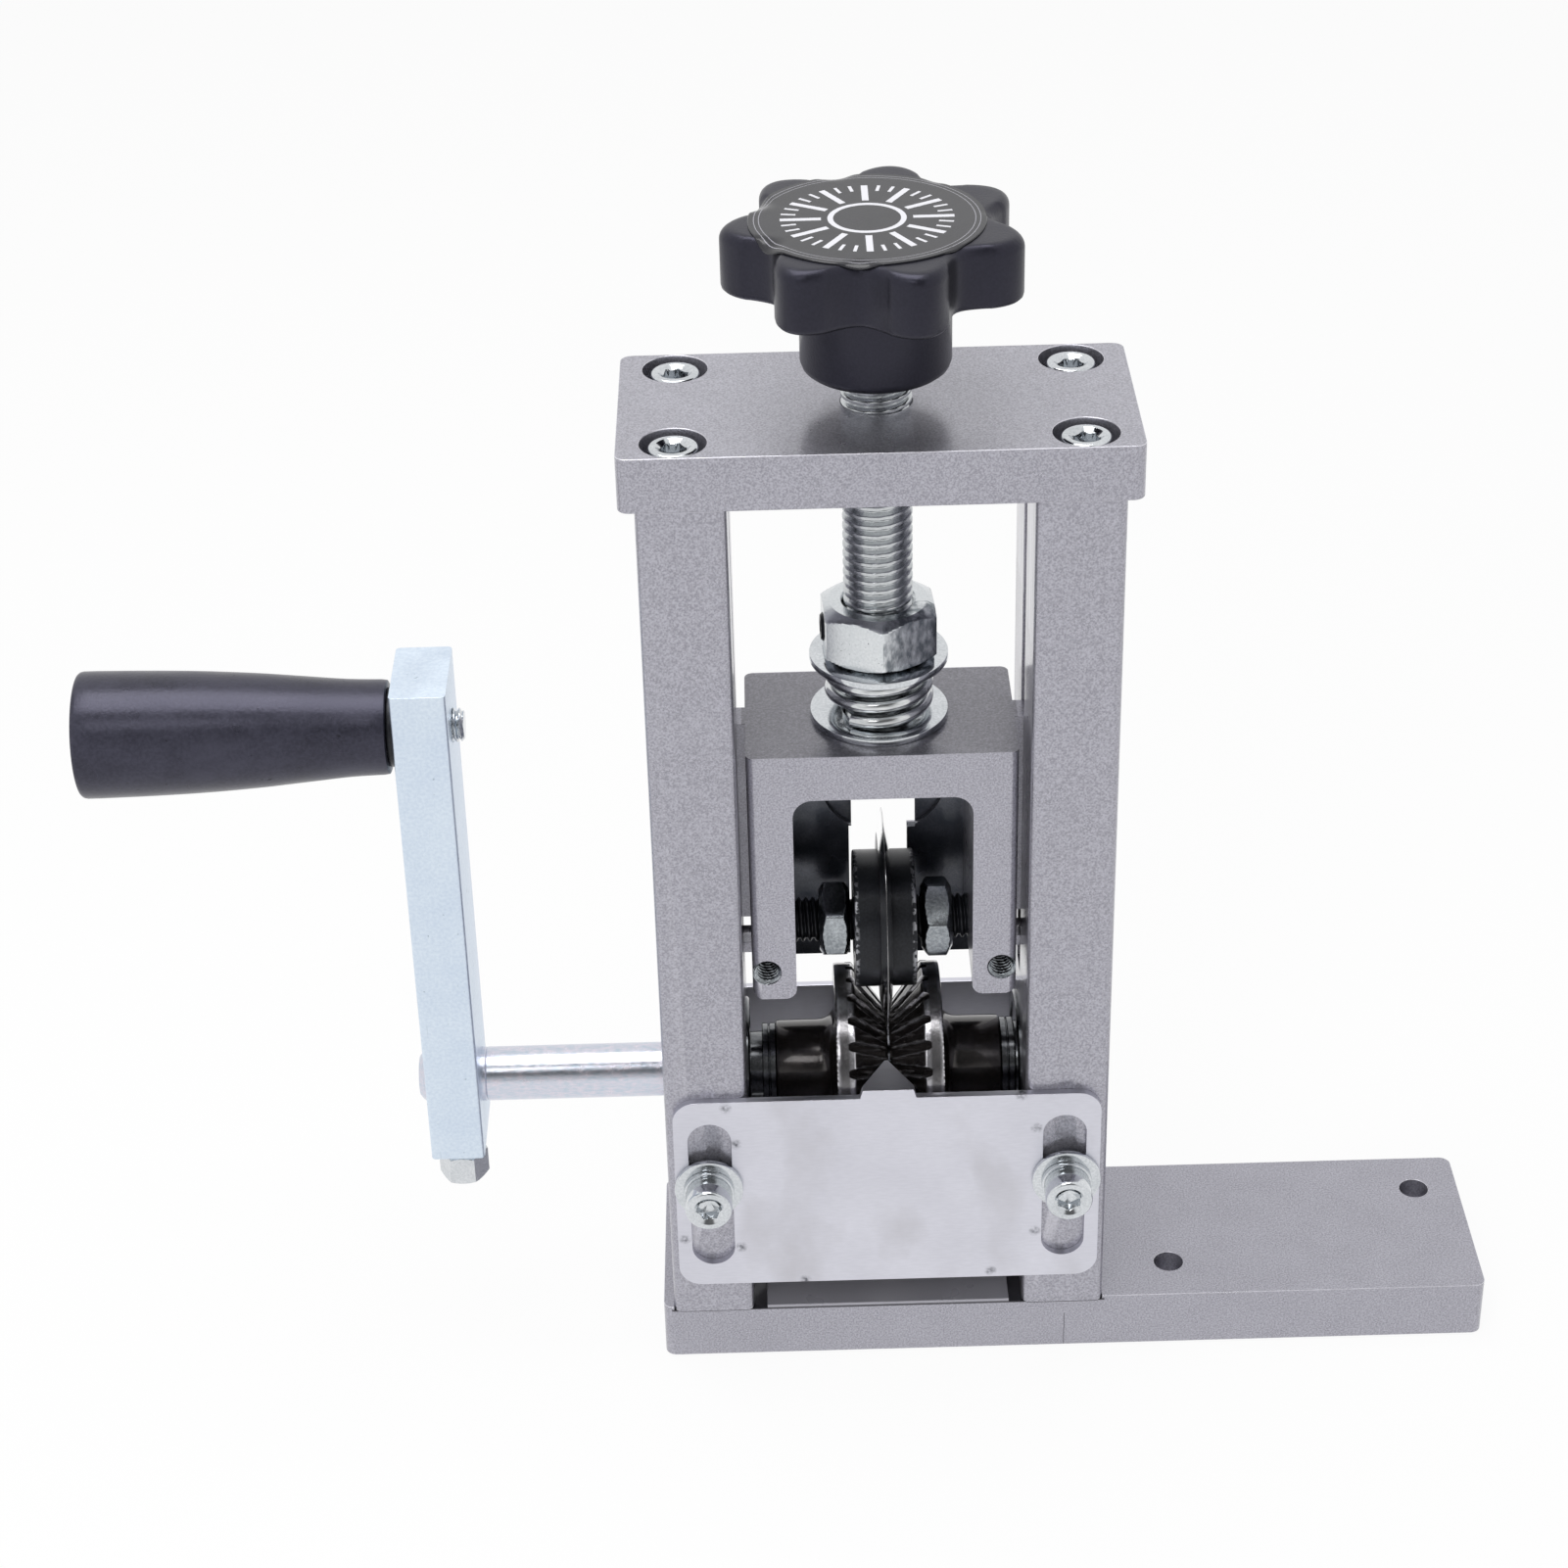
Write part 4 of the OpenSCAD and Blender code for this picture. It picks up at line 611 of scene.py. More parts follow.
screw_low, screw_high = box_mm("lifting_screw")
SCREW_PITCH, SCREW_DEPTH, SCREW_CHAMFER = 1.75, 0.85, 1.0
rod = threaded_rod((0, 0, screw_low[2]), "z", screw_high[2] - screw_low[2], screw_high[0] - screw_low[0],
                   SCREW_PITCH, SCREW_DEPTH, SCREW_CHAMFER, sides=64, rows_per_turn=14, crest=0.25)
dress(surface("lifting_screw_rod", [rod]), "screw", "screw_thread", "lifting_screw")

axle_low, axle_high = box_mm("blade_axle")
axle_d = axle_high[2] - axle_low[2]
AXLE_PITCH, AXLE_DEPTH, AXLE_CHAMFER = 1.25, 0.62, 0.8
rod = threaded_rod((axle_low[0], 0, blade_z), "x", axle_high[0] - axle_low[0], axle_d, AXLE_PITCH, AXLE_DEPTH,
                   AXLE_CHAMFER)
dress(surface("blade_axle_rod", [rod]), "carriage", "black_oxide", "blade_axle")

# %% [markdown]
# The knob's head is seven lobes on a round body. Seen along the axis its outline is a distance for every
# angle: a ray meets the circle of the nearest lobe, the round body, or the hollow circle of the nearest
# valley. Soft minimum and maximum blend the three. The real lobes flow into the valleys like a wave, so four
# fifths of the outline then go to a plain cosine with seven crests, and a profile sweeps the result upwards
# with a round upper edge. Near the axis the outline gives way to a plain circle for the neck and the top. The
# film on top reaches over the valleys, and bends down there by the square of how far it is past the flat top.

# %% Star knob
knob_z = box_mm("star_knob")[0][2]
LOBES = 7
FIRST_LOBE = -73.3
KNOB_H = 25.5
LOBE_R, LOBE_AT = 7.2, 17.9
VALLEY_R, VALLEY_AT = 5.5, 24.52
BODY_R, NECK_R, INSET = 21.0, 12.5, 0.1
LOBE_BLEND, VALLEY_BLEND = 1.0, 1.2
WAVE_SHARE, WAVE_MIDDLE, WAVE_HEIGHT = 0.8, 22.1, 2.95
TOP_ROUND = 2.0


def soft_max(a, b, blend):
    """blend * log(exp(a / blend) + exp(b / blend)), a maximum with a rounded corner."""
    return blend * np.logaddexp(a / blend, b / blend)


def star(columns):
    """Distance to the knob's outline. A ray at angle t from a circle's centre line meets it at
    d * cos t + sqrt(r ** 2 - (d * sin t) ** 2), or with a minus for a valley's near side. WAVE_SHARE of the result
    is replaced by WAVE_MIDDLE + WAVE_HEIGHT * cos(LOBES * the angle from a lobe)."""
    pitch = 2 * math.pi / LOBES
    t = (columns - math.radians(FIRST_LOBE) + pitch / 2) % pitch - pitch / 2
    lobe = LOBE_AT * np.cos(t) + np.sqrt(np.maximum(LOBE_R ** 2 - (LOBE_AT * np.sin(t)) ** 2, 0))
    t = pitch / 2 - np.abs(t)
    inside = VALLEY_R ** 2 - (VALLEY_AT * np.sin(t)) ** 2
    valley = VALLEY_AT * np.cos(t) - np.sign(inside) * np.sqrt(np.abs(inside))
    full = soft_max(lobe, np.full_like(lobe, BODY_R), LOBE_BLEND)
    cut = -soft_max(-full, -valley, VALLEY_BLEND) - INSET
    return cut + WAVE_SHARE * (WAVE_MIDDLE + WAVE_HEIGHT * np.cos(LOBES * (pitch / 2 - t)) - cut)


knob_rows = [(0, 0, 0), (0, NECK_R - 1.7, 0), (0.2, NECK_R - 0.95, 0), (0.7, NECK_R - 0.35, 0),
             (1.7, NECK_R, 0), (13.6, NECK_R, 0), (14.3, NECK_R + 0.2, 0), (14.7, NECK_R + 0.9, 0),
             (14.7, -1.3, 1), (14.85, -0.6, 1), (15.3, -0.15, 1), (15.9, 0, 1)]
knob_rows += [(KNOB_H - TOP_ROUND + h, d - TOP_ROUND, 1) for h, d in arc(0, 0, TOP_ROUND, 90, 12, 7)]
knob_rows += [(KNOB_H - 0.02, -2.6, 1), (KNOB_H, -4.2, 1), (KNOB_H, 12, 0), (KNOB_H, 0, 0)]
table = np.array(knob_rows)
KNOB_SIDES = 420
outline = star(angles(KNOB_SIDES))
radii = np.where(table[:, 2:] == 1, outline[None, :] + table[:, 1:2], table[:, 1:2])
heights = np.repeat(table[:, :1], KNOB_SIDES, axis=1)
knob = surface("star_knob_moulding", [spun((0, 0, knob_z), "z", heights, radii)])
dress(knob, "screw", "black_plastic", "star_knob", sharp=40)

label_r = (label_high[0] - label_low[0]) / 2
FILM_DROOP = 0.13
shells = [label_r * k for k in (1, 0.97, 0.94, 0.9, 0.86, 0.8, 0.6, 0.3, 0)]
rows = [(label_low[2] + 0.05, r) for r in shells[::-1]]
rows += [(label_high[2] - 0.12, label_r + 0.01), (label_high[2], label_r - 0.12)]
rows += [(label_high[2], r) for r in shells[1:]]
film = turned((label_x, 0, 0), "z", rows, sides=210)
past_top = np.hypot(film[..., 0], film[..., 1]) - star(np.arctan2(film[..., 1], film[..., 0])) + TOP_ROUND
film[..., 2] -= FILM_DROOP * np.maximum(past_top, 0) ** 2
dress(surface("knob_film", [film]), "screw", "label_film", "knob_label")

# %% [markdown]
# A nut is a hexagon with its corners turned off by a cone. At every height the radius is the smaller of the
# two, and where they meet the curved edges appear that every nut has.

# %% Nuts and the clamp screw's head
CONE_TAN = math.tan(math.radians(30))


def nut_grid(at, axis, flats, low, high, bore, twist, washer_face, closed_top=False):
    """A nut between two heights. The cone starts at washer_face times half the flats and widens by 1 / tan 30."""
    sides, sink = 96, 0.5
    face = flats / 2 * washer_face
    corner = flats / 2 * hexagon(twist, sides)
    depth = np.linspace(0, (flats / 2 / math.cos(math.pi / 6) - face) * CONE_TAN, 9)
    lower = np.minimum(corner[None, :], face + depth[:, None] / CONE_TAN)
    heights = np.concatenate([low + depth, high - depth[::-1]])
    radii = np.vstack([lower, lower[::-1]])
    ends = [(high, bore + sink), (high - sink, bore), (low + sink, bore), (low, bore + sink)]
    if closed_top:
        ends = [(high, 0.0), (low, 0.0)]
    heights = np.concatenate([heights, [h for h, r in ends]])
    radii = np.vstack([radii] + [np.full((1, sides), r) for h, r in ends])
    return spun(at, axis, np.repeat(heights[:, None], sides, axis=1), radii)


nut_low, nut_high = box_mm("stop_nut")
NUT_FLATS, AXLE_NUT_FLATS, NUT_TURN, NUT_PLAY = 19.0, 13.0, -117.0, 0.02
nut = nut_grid((0, 0, 0), "z", NUT_FLATS, nut_low[2], nut_high[2], screw_high[0] + NUT_PLAY, NUT_TURN, 0.89)
dress(surface("stop_nut_hex", [nut], closed=True), "screw", "bright_fastener", "stop_nut", sharp=25,
      coat="pitted_zinc")

for name, tilt in (("left", -5.0), ("right", 10.0)):
    low, high = box_mm("axle_nut_" + name)
    nut = nut_grid((0, 0, blade_z), "x", AXLE_NUT_FLATS, low[0], high[0], axle_d / 2 + NUT_PLAY, tilt, 0.84)
    nut = surface("axle_nut_hex_" + name, [nut], closed=True)
    dress(nut, "carriage", "dull_nut", "axle_nut_" + name, sharp=25)

# %% [markdown]
# Socket head cap screws hold the plates. A profile runs from the tip of the shank up the thread, round the
# head, over its chamfer and down into the six-sided socket, whose floor is the shallow cone that the drill
# left.

# %% Cap screws
HEAD_D, HEAD_H = 8.5, 5.0


def cap_screw(at, axis, shank, head_d=HEAD_D, head_h=HEAD_H, d=5.0, key=4.0, key_depth=2.6, twist=0.0):
    """Rows from the shank's tip at -shank to the socket's floor. The head stands on height 0."""
    r = head_d / 2
    rows = [(-shank, 0), (-shank, d / 2 - 0.5), (-shank + 0.5, d / 2), (-0.01, d / 2), (0, d / 2 + 0.05),
            (0, r - 0.35), (0.12, r - 0.1), (0.4, r), (head_h - 0.75, r)]
    rows += [(head_h - 0.75 + 0.75 * math.sin(t), r - 0.55 * (1 - math.cos(t))) for t in np.linspace(0.3, 1.5, 5)]
    mouth = key / 2 + 0.85
    rows += [(head_h, r - 0.75), (head_h, mouth + 0.08)]
    rows += [(head_h - 0.05 - t, key / 2, 1, mouth - 1.3 * t) for t in np.linspace(0, 0.65, 7)]
    rows += [(head_h - key_depth, key / 2, 1), (head_h - key_depth - 0.1, key / 2 - 0.3, 0.6),
             (head_h - key_depth - 0.5, 0)]
    return turned(at, axis, rows, twist, sides=96)


def screw_set(name, node, places, axis, body, **sizes):
    """All screws of one CAD group as one piece."""
    grids = [cap_screw(at, axis, twist=twist, **sizes) for at, twist in places]
    return dress(surface(name, grids), body, "bright_fastener", node)


top_low, top_high = box_mm("top_plate_screws")
head_at = top_high[2] - HEAD_H
corner_x, corner_y = top_high[0] - HEAD_D / 2, top_high[1] - HEAD_D / 2
places = [((sx * corner_x, sy * corner_y, head_at), 20 * sx + 7 * sy) for sx in (-1, 1) for sy in (-1, 1)]
screw_set("top_plate_cap_screws", "top_plate_screws", places, "z", "frame", shank=head_at - top_low[2])

foot_low, foot_high = box_mm("column_foot_screws")
down = ((0, 0, -1), (1, 0, 0))
places = [((sx * corner_x, sy * corner_y, foot_low[2] + HEAD_H), 0) for sx in (-1, 1) for sy in (-1, 1)]
foot_shank = foot_high[2] - foot_low[2] - HEAD_H
screw_set("foot_cap_screws", "column_foot_screws", places, down, "frame", shank=foot_shank)

# %% [markdown]
# Under each guide screw lie a split lock washer and a flat washer. The lock washer is a ring with one cut:
# its grid runs almost all the way round and stops short of the cut, and a slight twist lifts one end over the
# other.

# %% Guide plate fasteners
def lock_washer(at, axis, inner, outer, thick, cut):
    """A bar of square section swept round an axis from half the cut to a full turn less half the cut. Its height
    climbs by a tenth of its thickness over that sweep."""
    sweep = np.radians(np.linspace(cut / 2, 360 - cut / 2, 72))[None, :]
    section = np.array(washer_rows(0, thick * 0.9, inner, outer, 0.15))
    climb = thick * 0.1 * sweep / (2 * math.pi)
    heights = section[:, :1] + climb
    radii = np.repeat(section[:, 1:], sweep.shape[1], axis=1)
    along, u = (np.array(v, float) for v in axis)
    v = np.cross(along, u)
    ring = np.cos(sweep)[..., None] * u + np.sin(sweep)[..., None] * v
    points = np.array(at, float) + heights[..., None] * along + radii[..., None] * ring
    middle_start = points[:, :1].mean(axis=0, keepdims=True)
    middle_end = points[:, -1:].mean(axis=0, keepdims=True)
    rows = len(section)
    caps = [np.repeat(middle_start, rows, axis=0), points, np.repeat(middle_end, rows, axis=0)]
    return np.swapaxes(np.concatenate(caps, axis=1), 0, 1)


WASHER_BORE, LOCK_R, LOCK_T, LOCK_CUT, FLAT_R = 2.65, 4.6, 1.2, 12, 6.25
for side, name in ((-1, "front"), (1, "rear")):
    out = ((0, side, 0), (0, 0, -1))
    low, high = box_mm(name + "_plate_screws")
    flat_low, flat_high = box_mm(name + "_plate_washers")
    lock_low, lock_high = box_mm(name + "_plate_lock_washers")
    screw_x, screw_z = high[0] - HEAD_D / 2, (low[2] + high[2]) / 2
    face = max(side * low[1], side * high[1]) - HEAD_H
    inner_end = min(side * low[1], side * high[1])
    lock_at = min(side * lock_low[1], side * lock_high[1])
    flat_at = min(side * flat_low[1], side * flat_high[1])
    flat_t = flat_high[1] - flat_low[1]
    disc_rows = washer_rows(0, flat_t, WASHER_BORE, FLAT_R, 0.2)
    places, locks, discs = [], [], []
    for s in (-1, 1):
        places.append(((s * screw_x, side * face, screw_z), 12 * s + 18))
        lock_place = (s * screw_x, side * lock_at, screw_z)
        locks.append(lock_washer(lock_place, out, WASHER_BORE, LOCK_R, LOCK_T, LOCK_CUT))
        discs.append(turned((s * screw_x, side * flat_at, screw_z), out, disc_rows))
    screw_set(name + "_cap_screws", name + "_plate_screws", places, out, "frame", shank=face - inner_end)
    dress(surface(name + "_split_washers", locks), "frame", "bright_fastener", name + "_plate_lock_washers")
    dress(surface(name + "_flat_washers", discs, closed=True), "frame", "bright_fastener", name + "_plate_washers")

# %% [markdown]
# The pressure spring is one round wire on a helix, cut off square at both ends. A circle is carried along the
# helix: its centre climbs steadily while it turns, and the circle stands square to the wire. When the blade
# rides up over a thick cable the spring is pressed together; here the piece rides on the spring seat.

# %% Pressure spring
seat_low, seat_high = box_mm("lower_spring_washer")
lid_low, lid_high = box_mm("upper_spring_washer")
WIRE, TURNS, COIL_START, COIL_D, END_GAP = 2.3, 2.35, -118.0, 18.9, 0.15
END_RUN, END_ROUND = 1.2, 0.12
coil_r = (COIL_D - WIRE) / 2
coil_base = seat_high[2] + WIRE / 2 + END_GAP
coil_rise = lid_low[2] - seat_high[2] - WIRE - 2 * END_GAP


def coil(steps=170, around=20):
    """Circles of wire radius about centres on the helix, with a short straight end and a cap at each end."""
    t = np.linspace(0, 1, steps)
    a = math.radians(COIL_START) + 2 * math.pi * TURNS * t
    out = np.stack([np.cos(a), np.sin(a), np.zeros(steps)], axis=1)
    ahead = np.stack([-np.sin(a), np.cos(a), np.full(steps, coil_rise / (2 * math.pi * TURNS * coil_r))], axis=1)
    ahead /= np.linalg.norm(ahead, axis=1, keepdims=True)
    centre = coil_r * out + np.stack([0 * t, 0 * t, coil_base + coil_rise * t], axis=1)
    first, last = centre[0] - END_RUN * ahead[0], centre[-1] + END_RUN * ahead[-1]
    lead, trail = first + END_ROUND * ahead[0], last - END_ROUND * ahead[-1]
    centre = np.vstack([first, first, lead, centre, trail, last, last])
    ends = [0, 0, 0], [-1, -1, -1]
    out = np.vstack([out[ends[0]], out, out[ends[1]]])
    up = np.cross(ahead, out[3:-3])
    up = np.vstack([up[ends[0]], up, up[ends[1]]])
    size = np.full(len(centre), WIRE / 2)
    size[[0, -1]] = 0.0
    size[[1, -2]] = WIRE / 2 - END_ROUND
    b = angles(around)
    ring = np.cos(b)[None, :, None] * out[:, None] + np.sin(b)[None, :, None] * up[:, None]
    return centre[:, None] + size[:, None, None] * ring


spring = dress(surface("pressure_spring_coil", [coil()]), "spring_seat", "spring_wire", "pressure_spring")
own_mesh(spring)

# %% [markdown]
# Washers, flanges, spacers and bearings are plain turned rings. Each takes its ends and its outer diameter
# from the frame's boxes, and its rounded edges and grooves from a few rows.

# %% Rings on the screw
for node, body, slot, bore in [
    ("lower_spring_washer", "carriage", "bright_fastener", 6.5),
    ("upper_spring_washer", "spring_seat", "bright_fastener", 6.5),
    ("retaining_washer", "screw", "black_oxide", 6.0),
]:
    low, high = box_mm(node)
    rows = washer_rows(low[2], high[2], bore, (high[0] - low[0]) / 2, 0.25)
    turned_ring(node + "_ring", (0, 0, 0), "z", rows, body, slot, node, sides=112)

# %% [markdown]
# The round blade is ground to a wedge from both sides, and two flanges clamp it on a sleeve that turns on the
# axle. Its profile is a few straight rows, and the wear written on its points tells the shader where the
# bright bevels are. The flanges have a few rows more than a washer near their rims, so that the wear can end
# close to the edge.

# %% Blade and flanges
blade_r = (blade_high[2] - blade_low[2]) / 2
half_t = (blade_high[0] - blade_low[0]) / 2
BEVEL_W, BORE_R, FLANGE_BORE_R, SLEEVE_R = 4.5, 9.0, 7.02, 7.0
rows = [(-half_t, BORE_R), (-half_t, blade_r - BEVEL_W - 0.15), (-half_t + 0.03, blade_r - BEVEL_W + 0.1),
        (-0.22, blade_r - 0.75), (-0.03, blade_r), (0.03, blade_r), (0.22, blade_r - 0.75),
        (half_t - 0.03, blade_r - BEVEL_W + 0.1), (half_t, blade_r - BEVEL_W - 0.15), (half_t, BORE_R)]
disc = turned((blade_x, 0, blade_z), "x", rows, sides=192)
made = surface("round_blade_disc", [disc], closed=True)


def ground_bright(x, y, z):
    """The rule for the blade's wear: 1 on the bevels, a half at the cutting edge itself, and 0 on the flats."""
    r = np.hypot(y, z - blade_z)
    return (r > blade_r - BEVEL_W - 0.05) * np.where(r > blade_r - 0.1, 0.5, 1.0)


dress(wear(made, ground_bright), "blade", "ground_steel", "round_blade", sharp=8)

for name in ("left", "right"):
    low, high = box_mm("blade_flange_" + name)
    r = (high[2] - low[2]) / 2
    rows = washer_rows(low[0], high[0], FLANGE_BORE_R, r, 0.35)
    rows = (rows[:3] + [(low[0], r - 0.9)] + rows[3:6] + [(low[0] + 0.9, r), (high[0] - 0.9, r)] + rows[6:9]
            + [(high[0], r - 0.9)] + rows[9:])
    ring = turned((0, 0, blade_z), "x", rows, sides=128)
    made = surface("flange_ring_" + name, [ring], closed=True)
    wear(made, lambda x, y, z: (
        (np.hypot(y, z - blade_z) > r - 0.5) & (np.minimum(x - low[0], high[0] - x) < 0.4)) * 1.0)
    dress(made, "blade", "black_oxide", "blade_flange_" + name)

low, high = box_mm("blade_bearing")
rows = washer_rows(low[0], high[0], axle_d / 2 + 0.03, SLEEVE_R, 0.2)
turned_ring("blade_sleeve", (0, 0, blade_z), "x", rows, "blade", "bearing_steel", "blade_bearing")

# %% [markdown]
# The two feed wheels are the heart of the tool: bevelled discs with radial grooves that leave sharp ribs to
# grip the cable. The profile runs from the bore over the nose, up the cone, across the rim and down the back
# to the hub. Each groove sinks the surface away from the other wheel. Its mask is 1 within half the groove's
# width of its middle line, which is the radius times the angle, and fades to 0 over a third of a millimetre
# for a soft edge.

# %% Feed wheels
TEETH, GAP, GAP_SHARE, RIM_DEPTH, NOSE_DEPTH = 24, 1.6, 0.36, 1.2, 0.3
CONE, RIM, HUB_D, FILLET, NOSE_GAP, NOSE_R = 6.2, 3.4, 17.0, 3.0, 0.15, 10.4
WHEEL_SIDES = TEETH * 20
TOOTH_PITCH = 2 * math.pi / TEETH


def from_groove(a, radii):
    """How far a point at angle a lies from the middle of its groove, along the arc, and half the groove's width."""
    fold = np.abs((a + TOOTH_PITCH / 2) % TOOTH_PITCH - TOOTH_PITCH / 2) * radii
    return fold, np.minimum(GAP / 2, GAP_SHARE * radii * TOOTH_PITCH)


def groove_mask(radii, soft=0.3):
    """1 in a groove and 0 on a rib, for radii in rows and evenly spaced angles in columns."""
    fold, half = from_groove(angles(WHEEL_SIDES)[None, :], radii)
    return np.clip((half - fold) / soft + 0.5, 0, 1)


def wheel(side):
    """The grid of one wheel. Height runs from the plane where the wheels meet outwards; side is -1 on the left and
    1 on the right."""
    low, high = box_mm("feed_wheel_left" if side < 0 else "feed_wheel_right")
    rim_r = (high[2] - low[2]) / 2
    end = high[0] - meet_x if side > 0 else meet_x - low[0]
    hub_r, bore, back = HUB_D / 2, 5.02, NOSE_GAP + CONE + RIM
    cone_r = np.linspace(NOSE_R, rim_r - 0.12, 22)
    cone_h = NOSE_GAP + (cone_r - NOSE_R) / (rim_r - NOSE_R) * CONE
    rim_h = NOSE_GAP + CONE + np.array([0.12, 0.3, 0.6, 0.9, 1.2, 1.5, 1.8, 2.1, 2.5])
    head = [(NOSE_GAP + 0.3, bore), (NOSE_GAP, bore + 0.3), (NOSE_GAP, NOSE_R - 0.2)]
    tail = [(back - 0.35, rim_r), (back - 0.1, rim_r - 0.1), (back, rim_r - 0.4), (back, hub_r + FILLET)]
    tail += [(back + FILLET - FILLET * math.cos(t), hub_r + FILLET - FILLET * math.sin(t))
             for t in np.linspace(0.15, math.pi / 2, 7)]
    tail += [(end - 0.5, hub_r), (end - 0.15, hub_r - 0.15), (end, hub_r - 0.5), (end, bore + 0.3),
             (end - 0.3, bore)]
    heights = np.concatenate([[h for h, r in head], cone_h, rim_h, [h for h, r in tail]])
    radii = np.concatenate([[r for h, r in head], cone_r, np.full(len(rim_h), rim_r), [r for h, r in tail]])
    heights = np.repeat(heights[:, None], WHEEL_SIDES, axis=1)
    mask = groove_mask(radii[:, None])
    share = np.clip((radii - NOSE_R) / (rim_r - NOSE_R), 0, 1)[:, None]
    sink = mask * (NOSE_DEPTH + (RIM_DEPTH - NOSE_DEPTH) * share)
    first, last = len(head), len(head) + len(cone_r)
    heights[first:last] += sink[first:last]
    notch = NOSE_GAP + CONE + sink[last - 1]
    heights[last:last + len(rim_h)] = np.maximum(heights[last:last + len(rim_h)], notch[None, :])
    radii = np.repeat(radii[:, None], WHEEL_SIDES, axis=1)
    return spun((meet_x, 0, shaft_z), ((side, 0, 0), (0, side, 0)), heights, radii)


LAND_R = 18.7


def rubbed_and_highlit(side):
    """The rule for a wheel's wear and painted highlights: a quarter on the land of the rim, which is wear, rising
    to 1 at its two edges, and 0.8 near a rib's edge on the cone; these two are painted highlights."""
    def rule(x, y, z):
        height, r = side * (x - meet_x), np.hypot(y, z - shaft_z)
        fold, half = from_groove(np.arctan2(z - shaft_z, side * y), r)
        over_land = np.abs(height - NOSE_GAP - CONE - 1.35 - RIM_DEPTH * 0.5)
        land = (r > LAND_R) * np.clip((over_land - 0.7) / 0.5, 0.25, 1) * (height < NOSE_GAP + CONE + RIM)
        rib = (r > NOSE_R + 0.5) & (height < NOSE_GAP + CONE + 0.05) & (fold > half) & (fold < half + 0.32)
        return np.maximum(land, rib * 0.8)
    return rule


for side, name in ((-1, "left"), (1, "right")):
    # Painted highlight: the stored number puts wear on the rim's land, and painted highlights on its edges and on
    # the ribs' edges.
    made = wear(surface("feed_wheel_body_" + name, [wheel(side)], closed=True), rubbed_and_highlit(side))
    dress(made, "crank", "tool_steel", "feed_wheel_" + name, sharp=38)

# %% [markdown]
# The shaft carries the wheels through two bearings, with a thin ring and a collar between hub and bearing.
# Shaft, rings and bearings are turned, and the bearings show their two races with a sunk shield between them.
# A fine line is turned into the shaft just inside the arm.

# %% Shaft, spacers and bearings
shaft_r = (shaft_high[2] - shaft_low[2]) / 2
mark_x = box_mm("crank_arm")[1][0] + 0.9
rows = [(shaft_low[0] + 0.5, 0), (shaft_low[0] + 0.1, 1.0), (shaft_low[0], 1.6), (shaft_low[0], shaft_r - 1.3),
        (shaft_low[0] + 0.5, shaft_r - 0.7), (shaft_low[0] + 1.3, shaft_r), (mark_x - 0.15, shaft_r),
        (mark_x, shaft_r - 0.12), (mark_x + 0.15, shaft_r), (shaft_high[0] - 1.3, shaft_r),
        (shaft_high[0], shaft_r - 1.3), (shaft_high[0], 0)]
dress(surface("drive_shaft_bar", [turned((0, 0, shaft_z), "x", rows)]), "crank", "zinc_plate", "drive_shaft",
      coat="drawn_bar")

for side, name in ((-1, "left"), (1, "right")):
    out = ((side, 0, 0), (0, side, 0))
    low, high = box_mm("shaft_spacer_" + name)
    near = min(abs(low[0]), abs(high[0]))
    length = high[0] - low[0]
    ring = 1.2
    rows = [(0.1, shaft_r + 0.02), (0, shaft_r + 0.3), (0, 7.8), (0.15, 8.0), (ring - 0.15, 8.0), (ring, 7.8),
            (ring, 7.45), (ring + 0.15, 7.45), (ring + 0.15, 7.8), (ring + 0.3, 8.0), (2 * ring, 8.0),
            (2 * ring + 0.15, 7.8), (2 * ring + 0.15, 6.5), (length, 6.5), (length, shaft_r + 0.02)]
    start = side * near
    turned_ring("spacer_ring_" + name, (start, 0, shaft_z), out, rows, "crank", "bearing_steel",
                "shaft_spacer_" + name)
    low, high = box_mm("shaft_bearing_" + name)
    near = min(abs(low[0]), abs(high[0]))
    r, width, race, sunk = (high[2] - low[2]) / 2, high[0] - low[0], 2.2, 0.4
    rows = [(0.15, shaft_r + 0.03), (0, shaft_r + 0.2), (0, shaft_r + race), (sunk, shaft_r + race + 0.08),
            (sunk, r - race - 0.5), (sunk - 0.15, r - race - 0.1), (0, r - race), (0, r - 0.3), (0.3, r),
            (width - 0.3, r), (width, r - 0.3), (width, shaft_r + 0.03)]
    turned_ring("bearing_" + name, (side * near, 0, shaft_z), out, rows, "frame", "bearing_steel",
                "shaft_bearing_" + name, sides=112)

# %% [markdown]
# The grip swells towards its free end so that it stays in the hand. Its profile is a smooth curve through a
# few stations, found by cubic interpolation, with a rounded mouth at the arm and a recess for the bolt at the
# end.

# %% Grip and its bolt
grip_low, grip_high = box_mm("crank_grip")
grip_z = (grip_low[2] + grip_high[2]) / 2
grip_l = grip_high[0] - grip_low[0]
SMALL_R, LARGE_R = 8.3, (grip_high[2] - grip_low[2]) / 2
stations = np.array([[0, 0.0], [0.12, 0.08], [0.26, 0.32], [0.42, 0.60], [0.58, 0.80], [0.76, 0.93],
                     [0.94, 1.0]])


